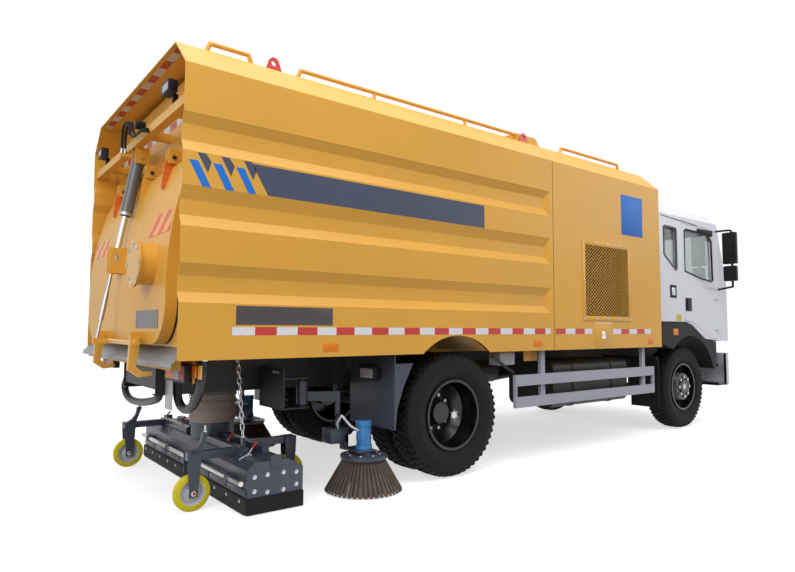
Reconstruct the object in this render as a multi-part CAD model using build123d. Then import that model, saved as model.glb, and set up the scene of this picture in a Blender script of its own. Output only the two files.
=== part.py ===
from build123d import *
import os
from math import atan2, cos, degrees, hypot, pi, radians, sin, sqrt

# Truck-mounted vacuum road sweeper, full size, in millimetres.
# Frame: +Z up with the ground at 0, the cab faces -Y, the right-hand side is -X.
# Stations along the truck are given as d, the distance forward of the rear edge of the body's side
# panels, so a station d lies at y = REAR_EDGE_Y - d.

os.makedirs("parts", exist_ok=True)

# ---------------------------------------------------------------- driving dimensions
REAR_EDGE_Y = 3528.5            # puts the middle of the whole truck at y = 0
CLEAR = 0.3                     # seated pieces lie this far from what carries them

# wheels and axles
TYRE_R = 500.0
TYRE_WIDTH = 260.0
TYRE_SHOULDER = 36.0
RIM_SEAT_R = 262.0
RIM_WALL = 9.0
REAR_AXLE_D = 2247.0
WHEELBASE = 3950.0
FRONT_AXLE_D = REAR_AXLE_D + WHEELBASE
REAR_TYRE_OUTER_X = 1200.0
TWIN_SPACING = 310.0
TWIN_MATE_X = REAR_TYRE_OUTER_X - (TWIN_SPACING + TYRE_WIDTH) / 2
FRONT_TYRE_OUTER_X = 1080.0
KINGPIN_X = 850.0
KINGPIN_R = 22.0
HUB_STUB_R = 46.0
AXLE_TUBE_R = 62.0

# chassis rails
RAIL_OUTER_X = 430.0
RAIL_FLANGE = 75.0
RAIL_WEB = 8.0
RAIL_BOTTOM = 720.0
RAIL_TOP = 970.0
RAIL_REAR_D = 120.0
RAIL_FRONT_D = 7040.0
SHAFT_R = 48.0
GEARBOX_REAR_D = 5150.0
SHAFT_FRONT_Z = 760.0
AXLE_NOSE_LEN = 330.0

# sweeper body
BODY_HALF = 1250.0
SHEET = 8.0
SKIRT_Z = 1000.0
EAVE_Z = 2788.0
ROOF_Z = 2986.0
RIDGE_HALF = 1043.0
HOPPER_LEN = 3455.0
HOUSING_REAR_D = 3465.0
BODY_LEN = 5370.0
GROOVE_DEPTH = 33.0
GROOVE_END_D = 3410.0
GROOVE_RAMP = 50.0
# outer top z, inner top z, inner bottom z, outer bottom z of each pressed groove
GROOVES = [
    (2487.0, 2420.0, 2318.0, 2250.0),
    (2043.0, 1958.0, 1865.0, 1797.0),
    (1577.0, 1503.0, 1406.0, 1343.0),
]
FLOOR_Z = 1040.0
FLOOR_T = 12.0
ARCH_R = 550.0
ARCH_D = 2230.0
ARCH_Z = 590.0

# tailgate: a bowed, rimmed shell hung from the top
DOOR_HALF = 1090.0
DOOR_BOTTOM = 1090.0
DOOR_TOP = 2280.0
DOOR_FACE_D = -30.0
DOOR_BEND_Z = 1450.0
DOOR_BEND_R = 2360.0
DOOR_RIM = 72.0
DOOR_SHEET = 8.0
DOOR_LOW_CORNER = 260.0
DOOR_TOP_CORNER = 60.0
SEAL_T = 14.0
SEAL_W = 30.0
END_WALL_T = 40.0
HINGE_D = 120.0
HINGE_Z = 2340.0
HINGE_PIN_R = 16.0
HINGE_X = (150.0, 670.0)

# tailgate cylinder, from a pin under the hood beam down to the clevis on the door
CYL_TOP_D = 70.0
CYL_TOP_Z = 2480.0
CYL_EYE_D = -75.0
CYL_EYE_Z = 1680.0
CYL_BARREL_R = 45.0
CYL_BARREL_LEN = 460.0
CYL_ROD_R = 22.0
CYL_PIN_R = 17.0
PIN_FIT = 0.05                  # radial clearance of a pin or rod in its bore

# suction nozzle
NOZZLE_HALF = 1130.0
NOZZLE_REAR_D = 500.0
NOZZLE_FRONT_D = 900.0
NOZZLE_BOTTOM = 60.0
NOZZLE_TOP = 330.0
NOZZLE_WALL = 10.0
SKIRT_GAP = 8.0
DUCT_R = 185.0
DUCT_D = 700.0
DUCT_WALL = 20.0
SPIGOT_R = DUCT_R - DUCT_WALL - CLEAR
CASTER_R = 120.0
CASTER_WIDTH = 50.0
CASTER_AXLE_R = 10.0
# name, x, d of each castor
CASTERS = [
    ("rear_right", -795.0, 265.0),
    ("rear_left", 795.0, 265.0),
    ("front_right", -600.0, 1065.0),
    ("front_left", 600.0, 1065.0),
]

GUARD_PLATE_D = 1612.0           # rear face of the rear mudguards

# side brushes
BRUSH_X = 1040.0
BRUSH_D = 1460.0
BRISTLE_TIP_Z = 8.0
BRISTLE_TOP_Z = 240.0
BRISTLE_TIP_R = 290.0
BRISTLE_ROOT_R = 150.0
BRUSH_DISC_R = 175.0
BRUSH_DISC_T = 30.0
SWING_X = 760.0
SWING_D = 1090.0
SWING_POST_R = 28.0

# cab
CAB_HALF = 1170.0
CAB_REAR_D = 5520.0
CAB_LEN = 1670.0
CAB_FRONT_D = CAB_REAR_D + CAB_LEN
CAB_SILL_Z = 1290.0
CAB_NOSE_Z = 1045.0
CAB_ROOF_Z = 2660.0
CAB_WALL = 45.0
CAB_FLOOR_Z = 1290.0
DOOR_REAR_D = 6050.0
DOOR_GAP = 6.0
DOOR_FRONT_D = CAB_FRONT_D - 300
CAB_HINGE_D = DOOR_FRONT_D + 3
CAB_HINGE_X = CAB_HALF + 6
CAB_HINGE_Z = (1180.0, 1580.0)   # foot of each door hinge
CAB_HINGE_LEN = 70.0
CAB_HINGE_PIN_R = 6.0
CAB_KNUCKLE_R = 13.0
CAB_PIVOT_D = CAB_FRONT_D - 170
CAB_PIVOT_Z = 800.0
CAB_PIVOT_R = 18.0
CAB_ARM_X = 475.0
CAB_REST_D = 5560.0


# ---------------------------------------------------------------- shape helpers
def y_at(d):
    return REAR_EDGE_Y - d


def block(x, d, z):
    """A box from (low, high) pairs in x, station and z."""
    lo = Vector(min(x), y_at(max(d)), min(z))
    size = Vector(max(x) - min(x), max(d) - min(d), max(z) - min(z))
    return Solid.make_box(size.X, size.Y, size.Z, Plane(lo))


def outline_x(points, x0, x1):
    """A (d, z) outline pushed along X."""
    wire = Wire.make_polygon([Vector(x0, y_at(d), z) for d, z in points], close=True)
    return Solid.extrude(Face(wire), Vector(x1 - x0, 0, 0))


def outline_y(points, d0, d1):
    """An (x, z) outline pushed from station d0 to d1."""
    wire = Wire.make_polygon([Vector(x, y_at(d0), z) for x, z in points], close=True)
    return Solid.extrude(Face(wire), Vector(0, d0 - d1, 0))


def outline_z(points, z0, z1):
    """An (x, d) outline pushed up from z0 to z1."""
    wire = Wire.make_polygon([Vector(x, y_at(d), z0) for x, d in points], close=True)
    return Solid.extrude(Face(wire), Vector(0, 0, z1 - z0))


def rod(start, end, radius):
    """A round bar between two (x, d, z) points."""
    a = Vector(start[0], y_at(start[1]), start[2])
    b = Vector(end[0], y_at(end[1]), end[2])
    return Solid.make_cylinder(radius, (b - a).length, Plane(a, z_dir=b - a))


def pipe_run(points, radius):
    """Round bars end to end through (x, d, z) points, with balls at the corners."""
    parts = [rod(a, b, radius) for a, b in zip(points, points[1:])]
    for x, d, z in points[1:-1]:
        parts.append(Solid.make_sphere(radius, Plane((x, y_at(d), z))))
    return fuse(parts)


def turned_x(profile, d, z):
    """A closed (x, r) profile revolved about the X axis line at station d and height z."""
    wire = Wire.make_polygon([Vector(x, y_at(d), z + r) for x, r in profile], close=True)
    return Solid.revolve(Face(wire), 360, Axis((0, y_at(d), z), (1, 0, 0)))


def turned_z(profile, x, d):
    """A closed (r, z) profile revolved about a vertical line at x and station d."""
    wire = Wire.make_polygon([Vector(x + r, y_at(d), z) for r, z in profile], close=True)
    return Solid.revolve(Face(wire), 360, Axis((x, y_at(d), 0), (0, 0, 1)))


def fuse(parts):
    whole = parts[0]
    for part in parts[1:]:
        whole = whole + part
    return whole


def cut(whole, parts):
    for part in parts:
        whole = whole - part
    return whole


def other_side(shape):
    return mirror(shape, about=Plane.YZ)


def both_sides(shape):
    return [shape, other_side(shape)]


def save(name, *shapes):
    solids = []
    for shape in shapes:
        solids.extend(shape.solids())
    export_step(Compound(solids), f"parts/{name}.step")


SIDES = (("right", -1), ("left", 1))


# ---------------------------------------------------------------- chassis
def drive_line(forward):
    """Point on the drive line, a distance ahead of the rear axle's centre."""
    slope = (SHAFT_FRONT_Z - TYRE_R) / (GEARBOX_REAR_D - REAR_AXLE_D)
    return 0, REAR_AXLE_D + forward, TYRE_R + slope * forward


def frame_rails():
    """Two C-section rails tied by cross members."""
    inner = RAIL_OUTER_X - RAIL_FLANGE
    rails = []
    for s in (-1, 1):
        web = block((s * (RAIL_OUTER_X - RAIL_WEB), s * RAIL_OUTER_X), (RAIL_REAR_D, RAIL_FRONT_D),
                    (RAIL_BOTTOM, RAIL_TOP))
        flanges = [
            block((s * inner, s * RAIL_OUTER_X), (RAIL_REAR_D, RAIL_FRONT_D), (z, z + RAIL_WEB))
            for z in (RAIL_BOTTOM, RAIL_TOP - RAIL_WEB)
        ]
        rails.append(fuse([web] + flanges))
    web_x = RAIL_OUTER_X - RAIL_WEB
    members = [
        block((-web_x, web_x), (d, d + 60), (RAIL_BOTTOM + 40, RAIL_TOP - 40))
        for d in (130.0, 1250.0, 1900.0, 2600.0, 3600.0, 4700.0)
    ]
    members.append(block((-web_x, web_x), (RAIL_FRONT_D - 60, RAIL_FRONT_D),
                         (RAIL_BOTTOM + 10, RAIL_BOTTOM + 150)))
    tunnel = rod(drive_line(0), drive_line(GEARBOX_REAR_D - REAR_AXLE_D), SHAFT_R + 45)
    ladder = fuse(rails + members) - tunnel
    for s in (-1, 1):
        support = block((s * (RAIL_OUTER_X - 60), s * RAIL_OUTER_X), (CAB_REST_D, CAB_REST_D + 50),
                        (RAIL_TOP - 2, CAB_FLOOR_Z - CLEAR))
        pivot = rod((s * RAIL_OUTER_X - s * 20, CAB_PIVOT_D, CAB_PIVOT_Z),
                    (s * (CAB_ARM_X + 45), CAB_PIVOT_D, CAB_PIVOT_Z),
                    CAB_PIVOT_R)
        ladder = ladder + support + pivot
    rest = block((-560, 560), (CAB_REST_D, CAB_REST_D + 50), (CAB_FLOOR_Z - 60, CAB_FLOOR_Z - CLEAR))
    return ladder + rest


SPRING_X = RAIL_OUTER_X - RAIL_FLANGE / 2
SPRING_W = 70.0
FRONT_SEAT_Z = 585.0
REAR_SEAT_Z = 590.0
LEAF_T = 12.0


def leaf_springs():
    """Stepped leaf packs with a hanger and a shackle under the rails."""
    packs = []
    # axle station, half length, seat height, leaves
    for axle_d, half, seat_z, leaves in ((FRONT_AXLE_D, 620.0, FRONT_SEAT_Z, 4),
                                         (REAR_AXLE_D, 640.0, REAR_SEAT_Z, 7)):
        for s in (-1, 1):
            x = (s * (SPRING_X - SPRING_W / 2), s * (SPRING_X + SPRING_W / 2))
            steps = []
            for i in range(leaves):
                reach = half * (1 - 0.8 * i / leaves)
                top = seat_z + LEAF_T * (leaves - i)
                steps.append(block(x, (axle_d - reach, axle_d + reach), (top - LEAF_T, top)))
            top = seat_z + LEAF_T * leaves
            for end in (-1, 1):
                d = axle_d + end * (half - 30)
                steps.append(block(x, (d - 30, d + 30), (top - LEAF_T, RAIL_BOTTOM - CLEAR)))
            packs.append(fuse(steps))
    return packs


def rear_axle():
    """Banjo housing with its tubes and the hub carriers that the twin wheels turn on."""
    hub_x = TWIN_MATE_X + 30
    bowl = turned_x([(-150, 0), (-150, 90), (-95, 175), (95, 175), (150, 90), (150, 0)], REAR_AXLE_D,
                    TYRE_R)
    tube = rod((-hub_x, REAR_AXLE_D, TYRE_R), (hub_x, REAR_AXLE_D, TYRE_R), AXLE_TUBE_R)
    nose = rod(drive_line(0), drive_line(AXLE_NOSE_LEN), 95.0)
    seats = [
        block((s * (SPRING_X - 40), s * (SPRING_X + 40)), (REAR_AXLE_D - 70, REAR_AXLE_D + 70),
              (TYRE_R, REAR_SEAT_Z - CLEAR))
        for s in (-1, 1)
    ]
    return fuse([tube, bowl, nose] + seats)


def front_axle():
    """Dropped beam between the two kingpin eyes."""
    half = KINGPIN_X
    points = [(-half, 455), (-620, 455), (-520, 395), (520, 395), (620, 455), (half, 455),
              (half, 545), (600, 545), (480, 490), (-480, 490), (-600, 545), (-half, 545)]
    beam = outline_y(points, FRONT_AXLE_D - 45, FRONT_AXLE_D + 45)
    eyes = [rod((s * half, FRONT_AXLE_D, 455), (s * half, FRONT_AXLE_D, 545), 52.0) for s in (-1, 1)]
    seats = [
        block((s * (SPRING_X - 40), s * (SPRING_X + 40)), (FRONT_AXLE_D - 60, FRONT_AXLE_D + 60),
              (450.0, FRONT_SEAT_Z - CLEAR))
        for s in (-1, 1)
    ]
    bores = [rod((s * half, FRONT_AXLE_D, 400), (s * half, FRONT_AXLE_D, 600), KINGPIN_R + PIN_FIT)
             for s in (-1, 1)]
    return cut(fuse([beam] + eyes + seats), bores)


def knuckle(s):
    """Steering knuckle: a fork over and under the beam's eye, with the stub the hub turns on."""
    x = s * KINGPIN_X
    inner_face = FRONT_TYRE_OUTER_X - TYRE_WIDTH / 2
    ears = [
        rod((x, FRONT_AXLE_D, 545 + CLEAR), (x, FRONT_AXLE_D, 610), 50.0),
        rod((x, FRONT_AXLE_D, 390), (x, FRONT_AXLE_D, 455 - CLEAR), 50.0),
        rod((x, FRONT_AXLE_D, 392), (x, FRONT_AXLE_D, 608), KINGPIN_R),
    ]
    plate_x = (s * (KINGPIN_X + 55), s * (KINGPIN_X + 85))
    plate = block(plate_x, (FRONT_AXLE_D - 80, FRONT_AXLE_D + 80), (390, 610))
    bridges = [
        block((x, s * (KINGPIN_X + 60)), (FRONT_AXLE_D - 40, FRONT_AXLE_D + 40), z)
        for z in ((545 + CLEAR, 610), (390, 455 - CLEAR))
    ]
    stub = rod((s * (KINGPIN_X + 70), FRONT_AXLE_D, TYRE_R), (s * (inner_face + 60), FRONT_AXLE_D, TYRE_R),
               HUB_STUB_R)
    arm = block((s * (KINGPIN_X - 20), s * (KINGPIN_X + 20)), (FRONT_AXLE_D - 230, FRONT_AXLE_D - 30),
                (392, 422))
    return fuse(ears + bridges + [plate, stub, arm])


# ---------------------------------------------------------------- wheels
def tyre(outer_x, s, d):
    """A plain carcass: flat tread, rounded shoulders, bead on the rim seat."""
    x1, x0 = outer_x, outer_x - TYRE_WIDTH
    profile = [
        (x0 + 40, RIM_SEAT_R + RIM_WALL), (x0 + 8, RIM_SEAT_R + 60), (x0, 390.0),
        (x0 + 12, TYRE_R - TYRE_SHOULDER),
        (x0 + TYRE_SHOULDER, TYRE_R), (x1 - TYRE_SHOULDER, TYRE_R), (x1 - 12, TYRE_R - TYRE_SHOULDER),
        (x1, 390.0), (x1 - 8, RIM_SEAT_R + 60), (x1 - 40, RIM_SEAT_R + RIM_WALL),
    ]
    return turned_x([(s * x, r) for x, r in profile], d, TYRE_R)


def rim_barrel(x0, x1, s, d):
    """The rolled rim that the tyre's bead sits on."""
    seat = RIM_SEAT_R + RIM_WALL - CLEAR
    profile = [
        (x0 + 18, seat - RIM_WALL), (x1 - 18, seat - RIM_WALL), (x1 - 18, seat + 12), (x1 - 30, seat + 12),
        (x1 - 30, seat), (x0 + 30, seat), (x0 + 30, seat + 12), (x0 + 18, seat + 12),
    ]
    return turned_x([(s * x, r) for x, r in profile], d, TYRE_R)


def front_rim(s):
    """Front wheel: the disc stands out and the hub and its nuts show."""
    x1 = FRONT_TYRE_OUTER_X
    x0 = x1 - TYRE_WIDTH
    barrel = rim_barrel(x0, x1, s, FRONT_AXLE_D)
    face = x1 - 25
    disc = turned_x([(s * x, r) for x, r in [
        (face - 12, HUB_STUB_R + PIN_FIT), (face - 12, 150), (x0 + 120, 235), (x0 + 120, RIM_SEAT_R),
        (x0 + 132, RIM_SEAT_R), (x0 + 132, 240), (face, 160), (face, HUB_STUB_R + PIN_FIT)]],
        FRONT_AXLE_D, TYRE_R)
    hub = turned_x([(s * x, r) for x, r in [
        (face - 112, HUB_STUB_R + PIN_FIT), (face - 112, 95), (face - 20, 95), (face + 20, 80),
        (face + 20, 0),
        (face + 2, 0), (face + 2, HUB_STUB_R + PIN_FIT)]], FRONT_AXLE_D, TYRE_R)
    nuts = ring_of_nuts(s, face - 2, 118.0, 8, FRONT_AXLE_D)
    return fuse([barrel, disc, hub] + nuts)


def ring_of_nuts(s, x, radius, count, d):
    nuts = []
    for i in range(count):
        a = 2 * pi * i / count
        at = (d + radius * cos(a), TYRE_R + radius * sin(a))
        nuts.append(rod((s * x, *at), (s * (x + 24), *at), 15.0))
    return nuts


def rear_rims(s):
    """Twin rims back to back on one hub: the outer disc is deep-dished."""
    outer = REAR_TYRE_OUTER_X
    inner = outer - TWIN_SPACING
    mate = TWIN_MATE_X
    bore = AXLE_TUBE_R + PIN_FIT
    barrels = [rim_barrel(x1 - TYRE_WIDTH, x1, s, REAR_AXLE_D) for x1 in (outer, inner)]
    disc = turned_x([(s * x, r) for x, r in [
        (mate - 12, 80), (mate - 12, 200), (inner - 60, RIM_SEAT_R), (inner - 20, RIM_SEAT_R), (mate, 215),
        (outer - TYRE_WIDTH + 20, RIM_SEAT_R), (outer - TYRE_WIDTH + 60, RIM_SEAT_R), (mate + 12, 200),
        (mate + 12, 80)]], REAR_AXLE_D, TYRE_R)
    hub = turned_x([(s * x, r) for x, r in [
        (inner - TYRE_WIDTH / 2 + 2, bore), (inner - TYRE_WIDTH / 2 + 2, 120), (mate + 10, 120),
        (mate + 110, 85), (mate + 110, 0), (mate + 40, 0), (mate + 40, bore)]], REAR_AXLE_D, TYRE_R)
    nuts = ring_of_nuts(s, mate + 10, 145.0, 10, REAR_AXLE_D)
    return fuse(barrels + [disc, hub] + nuts)


# ---------------------------------------------------------------- running gear on the frame
def engine_block():
    """The truck's diesel engine and gearbox as one plain mass under the cab."""
    engine = block((-300, 300), (5850, 6880), (560, 1230))
    gearbox = block((-190, 190), (GEARBOX_REAR_D, 5850), (600, 960))
    web_x = RAIL_OUTER_X - RAIL_WEB - CLEAR
    seat_z = RAIL_BOTTOM + RAIL_WEB + CLEAR
    mounts = [block((s * 298, s * web_x), (d, d + 80), (seat_z, seat_z + 50)) for s in (-1, 1)
              for d in (6000, 6650)]
    return fuse([engine, gearbox] + mounts)


def prop_shaft():
    shaft = rod(drive_line(AXLE_NOSE_LEN + CLEAR), drive_line(GEARBOX_REAR_D - REAR_AXLE_D), SHAFT_R)
    return shaft - block((-200, 200), (GEARBOX_REAR_D - CLEAR, GEARBOX_REAR_D + 100), (600, 960))


TANK_X = (560.0, 1120.0)
TANK_D = (3600.0, 4860.0)
TANK_Z = (440.0, 880.0)


def fuel_tank():
    """Rounded rectangular tank with two straps on brackets from the right-hand rail."""
    tank = block((-TANK_X[1], -TANK_X[0]), TANK_D, TANK_Z)
    edges = tank.edges().filter_by(Axis.Y)
    tank = tank.fillet(70, edges)
    straps = []
    for d in (3900.0, 4560.0):
        outer = block((-TANK_X[1] - 6, -TANK_X[0] + 6), (d, d + 50), (TANK_Z[0] - 6, TANK_Z[1] + 6))
        outer = outer.fillet(75, outer.edges().filter_by(Axis.Y))
        straps.append(outer)
        straps.append(block((-TANK_X[0] - 20, -RAIL_OUTER_X - CLEAR), (d, d + 50), (760, 840)))
    return fuse([tank] + straps)


def air_tanks():
    """Air reservoirs on hangers beside the rails and the battery box on the left."""
    parts = []
    reservoir = rod((-700, 2850, 790), (-700, 3180, 790), 105.0)
    hanger = block((-700, -RAIL_OUTER_X - CLEAR), (2980, 3040), (780, 830))
    parts.append(reservoir + hanger)
    battery = block((RAIL_OUTER_X + CLEAR, 1080), (3250, 3900), (560, 860))
    parts.append(battery)
    cleaner = rod((750, 4300, 760), (750, 4800, 760), 160.0) + block((RAIL_OUTER_X + CLEAR, 750),
                                                                     (4500, 4560),
                                                                    (740, 800))
    parts.append(cleaner)
    return parts


GUARD_X = 1220.0
GUARD_D = (2950.0, 5245.0)
GUARD_RAILS = ((690.0, 786.0), (500.0, 592.0))
GUARD_POSTS = (3330.0, 5050.0)


def side_guards():
    """Two folded rails a side, on posts that hang from the body's cross bearers."""
    sides = []
    for s in (-1, 1):
        parts = [block((s * (GUARD_X - 32), s * GUARD_X), GUARD_D, z) for z in GUARD_RAILS]
        for d in (GUARD_D[0], GUARD_D[1] - 20):
            parts.append(block((s * (GUARD_X - 32), s * GUARD_X), (d, d + 20),
                               (GUARD_RAILS[1][0], GUARD_RAILS[0][1])))
        for d in GUARD_POSTS:
            parts.append(block((s * (GUARD_X - 62), s * (GUARD_X - 30)), (d, d + 60),
                               (500, FLOOR_Z - 40 - CLEAR)))
        sides.append(fuse(parts))
    return sides


# ---------------------------------------------------------------- sweeper body
def groove(top, bottom, depth, grow, end_d):
    """One pressed groove of the right side as a cutter, grown by the sheet for its inner face."""
    outer_top, inner_top, inner_bottom, outer_bottom = top[0], top[1], bottom[0], bottom[1]
    rise_top = (outer_top - inner_top) / depth
    rise_bottom = (inner_bottom - outer_bottom) / depth
    shift_top = grow * sqrt(1 + rise_top ** 2)
    shift_bottom = grow * sqrt(1 + rise_bottom ** 2)
    deep = depth + grow
    out = 12.0
    points = [
        (BODY_HALF + out, outer_top + shift_top + out * rise_top),
        (BODY_HALF - deep, outer_top + shift_top - deep * rise_top),
        (BODY_HALF - deep, outer_bottom - shift_bottom + deep * rise_bottom),
        (BODY_HALF + out, outer_bottom - shift_bottom - out * rise_bottom),
    ]
    prism = outline_y(points, -20.0, end_d + 100)
    ramp = GROOVE_RAMP / depth
    shift_end = grow * sqrt(1 + ramp ** 2)
    front = end_d + shift_end
    keep = outline_z([
        (BODY_HALF - 2 * depth, -20.0), (BODY_HALF - 2 * depth, front - 2 * depth * ramp),
        (BODY_HALF + out, front + out * ramp), (BODY_HALF + out, -20.0)], outer_bottom - 200,
        outer_top + 200)
    return prism & keep


def side_panel(s):
    """Folded steel side sheet of the hopper with three grooves that run out through its rear edge."""
    depth = 120.0
    outer = block((BODY_HALF - depth, BODY_HALF), (0, HOPPER_LEN), (SKIRT_Z, EAVE_Z))
    inner = block((BODY_HALF - depth - 10, BODY_HALF - SHEET), (-10, HOPPER_LEN + 10),
                  (SKIRT_Z - 10, EAVE_Z + 10))
    for outer_top, inner_top, inner_bottom, outer_bottom in GROOVES:
        top, bottom = (outer_top, inner_top), (inner_bottom, outer_bottom)
        outer = outer - groove(top, bottom, GROOVE_DEPTH, 0.0, GROOVE_END_D)
        inner = inner - groove(top, bottom, GROOVE_DEPTH, SHEET, GROOVE_END_D)
    panel = outer - inner
    return panel if s > 0 else other_side(panel)


def arch_cutter():
    return rod((-BODY_HALF - 20, ARCH_D, ARCH_Z), (BODY_HALF + 20, ARCH_D, ARCH_Z), ARCH_R)


def roof_ring(d0, d1, inset):
    """Roof section as an (x, z) outline: eave, slope, flat top."""
    rise = ROOF_Z - EAVE_Z
    run = BODY_HALF - RIDGE_HALF
    slope = hypot(rise, run)
    drop = inset * slope / rise
    flat = inset * (slope - rise) / run
    return [
        (-BODY_HALF + drop, EAVE_Z), (-RIDGE_HALF + flat, ROOF_Z - inset),
        (RIDGE_HALF - flat, ROOF_Z - inset),
        (BODY_HALF - drop, EAVE_Z),
    ]


def roof_panel():
    outer = outline_y(roof_ring(0, HOPPER_LEN, 0), 0, HOPPER_LEN)
    inner = outline_y(roof_ring(0, HOPPER_LEN, SHEET), -10, HOPPER_LEN + 10)
    return outer - inner


def housing():
    """Engine housing between hopper and cab: sides, roof and front wall, with a mesh opening each side."""
    section = [(-BODY_HALF, SKIRT_Z)] + roof_ring(0, 0, 0) + [(BODY_HALF, SKIRT_Z)]
    outer = outline_y(section, HOUSING_REAR_D, BODY_LEN)
    hollow = [(-BODY_HALF + SHEET, SKIRT_Z - 10)] + roof_ring(0, 0,
                                                              SHEET) + [(BODY_HALF - SHEET, SKIRT_Z - 10)]
    inner = outline_y(hollow, HOUSING_REAR_D - 10, BODY_LEN - SHEET)
    shell = outer - inner
    opening = block((-BODY_HALF - 20, BODY_HALF + 20), GRILLE_D, GRILLE_Z)
    return shell - opening


GRILLE_D = (3950.0, 4715.0)
GRILLE_Z = (1320.0, 2040.0)
GRILLE_BORDER = 45.0
GRILLE_FRAME_T = 6.0
MESH_T = 4.0
MESH_BAR = 9.0
MESH_PITCH = 90.0


def grille(s):
    """Bolted frame over the opening with an expanded-metal lattice in it."""
    x0 = BODY_HALF + CLEAR
    frame_x = (x0, x0 + GRILLE_FRAME_T)
    wide = (GRILLE_D[0] - GRILLE_BORDER, GRILLE_D[1] + GRILLE_BORDER)
    high = (GRILLE_Z[0] - GRILLE_BORDER, GRILLE_Z[1] + GRILLE_BORDER)
    frame = block(frame_x, wide, high) - block((x0 - 5, x0 + 20), GRILLE_D, GRILLE_Z)
    mesh_x = (x0, x0 + MESH_T)
    length = GRILLE_D[1] - GRILLE_D[0]
    height = GRILLE_Z[1] - GRILLE_Z[0]
    lean = 0.5
    window = block((x0 - 1, x0 + 10), (GRILLE_D[0] - 5, GRILLE_D[1] + 5),
                   (GRILLE_Z[0] - 5, GRILLE_Z[1] + 5))
    bars = []
    count = int((length + lean * height) / MESH_PITCH) + 1
    for i in range(count):
        foot = GRILLE_D[0] - lean * height + MESH_PITCH * (i + 0.5)
        for way in (1, -1):
            a = foot if way > 0 else GRILLE_D[0] + GRILLE_D[1] - foot
            top = a + way * lean * height
            bars.append(outline_x([(a, GRILLE_Z[0]), (a + MESH_BAR, GRILLE_Z[0]),
                                   (top + MESH_BAR, GRILLE_Z[1]),
                                   (top, GRILLE_Z[1])], mesh_x[0], mesh_x[1]) & window)
    whole = fuse([frame] + [b for b in bars if b.solids()])
    return whole if s > 0 else other_side(whole)


BULKHEAD_D = 3425.0
LINER_HALF = 575.0
LINER_T = 4.0


def floor_and_bearers():
    """Body floor on two runners and cross bearers, arched over the rear wheels."""
    width = BODY_HALF - GROOVE_DEPTH - SHEET - CLEAR
    floor = block((-width, width), (END_WALL_D + END_WALL_T + CLEAR, BODY_LEN - SHEET - CLEAR),
                  (FLOOR_Z, FLOOR_Z + FLOOR_T))
    runners = [
        block((s * (RAIL_OUTER_X - RAIL_FLANGE), s * RAIL_OUTER_X), (200, BODY_LEN - 40),
              (RAIL_TOP + CLEAR, FLOOR_Z))
        for s in (-1, 1)
    ]
    bearers = [
        block((-width, width), (d, d + 50), (FLOOR_Z - 40, FLOOR_Z))
        for d in (260.0, 900.0, 1500.0, 2950.0, 3420.0, 4180.0, 5050.0)
    ]
    slab = fuse([floor] + runners + bearers)
    wheel_gap = [block((s * 590, s * (width + 5)), (ARCH_D - ARCH_R - 10, ARCH_D + ARCH_R + 10),
                       (FLOOR_Z - 60, FLOOR_Z + FLOOR_T + 10)) for s in (-1, 1)]
    slab = cut(slab, wheel_gap)
    duct_hole = rod((0, DUCT_D, FLOOR_Z - 60), (0, DUCT_D, FLOOR_Z + 60), SPIGOT_R - SHEET)
    slab = slab - duct_hole
    for s in (-1, 1):
        x = (s * 590, s * width)
        drum = rod((x[0], ARCH_D, ARCH_Z), (x[1], ARCH_D, ARCH_Z), ARCH_R + SHEET)
        bore = rod((s * 550, ARCH_D, ARCH_Z), (s * (width + 20), ARCH_D, ARCH_Z), ARCH_R)
        upper = block((s * 560, s * (width + 30)), (ARCH_D - 700, ARCH_D + 700),
                      (SKIRT_Z + 8, SKIRT_Z + 400))
        housing_sheet = (drum - bore) & upper
        cheek = (rod((s * 590, ARCH_D, ARCH_Z), (s * 598, ARCH_D, ARCH_Z), ARCH_R + SHEET) & upper)
        sides = [block(x, (ARCH_D + e * (ARCH_R - 150), ARCH_D + e * (ARCH_R + 20)),
                       (FLOOR_Z, FLOOR_Z + FLOOR_T))
                 - rod((s * 550, ARCH_D, ARCH_Z), (s * (width + 20), ARCH_D, ARCH_Z), ARCH_R + 2)
                 for e in (-1, 1)]
        slab = fuse([slab, housing_sheet, cheek] + sides)
    liner = block((-LINER_HALF, LINER_HALF), (END_WALL_D + END_WALL_T + 20, BULKHEAD_D - 10),
                  (FLOOR_Z + FLOOR_T, FLOOR_Z + FLOOR_T + LINER_T))
    return slab + (liner - rod((0, DUCT_D, FLOOR_Z), (0, DUCT_D, FLOOR_Z + 60), SPIGOT_R + 15))




def bulkhead():
    """Front wall of the hopper."""
    width = BODY_HALF - GROOVE_DEPTH - SHEET - CLEAR
    points = [
        (-width, FLOOR_Z + FLOOR_T + CLEAR), (-width, EAVE_Z - 60), (-RIDGE_HALF + 30, ROOF_Z - SHEET - 40),
        (RIDGE_HALF - 30, ROOF_Z - SHEET - 40), (width, EAVE_Z - 60), (width, FLOOR_Z + FLOOR_T + CLEAR)]
    return outline_y(points, BULKHEAD_D, BULKHEAD_D + 12)


# ---------------------------------------------------------------- tail end
def face_d(z):
    """Station of the tailgate's outer face at height z."""
    rise = max(z - DOOR_BEND_Z, 0)
    return DOOR_FACE_D + DOOR_BEND_R - sqrt(DOOR_BEND_R ** 2 - rise ** 2)


END_WALL_D = DOOR_FACE_D + DOOR_RIM + SEAL_T + 2 * CLEAR


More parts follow.
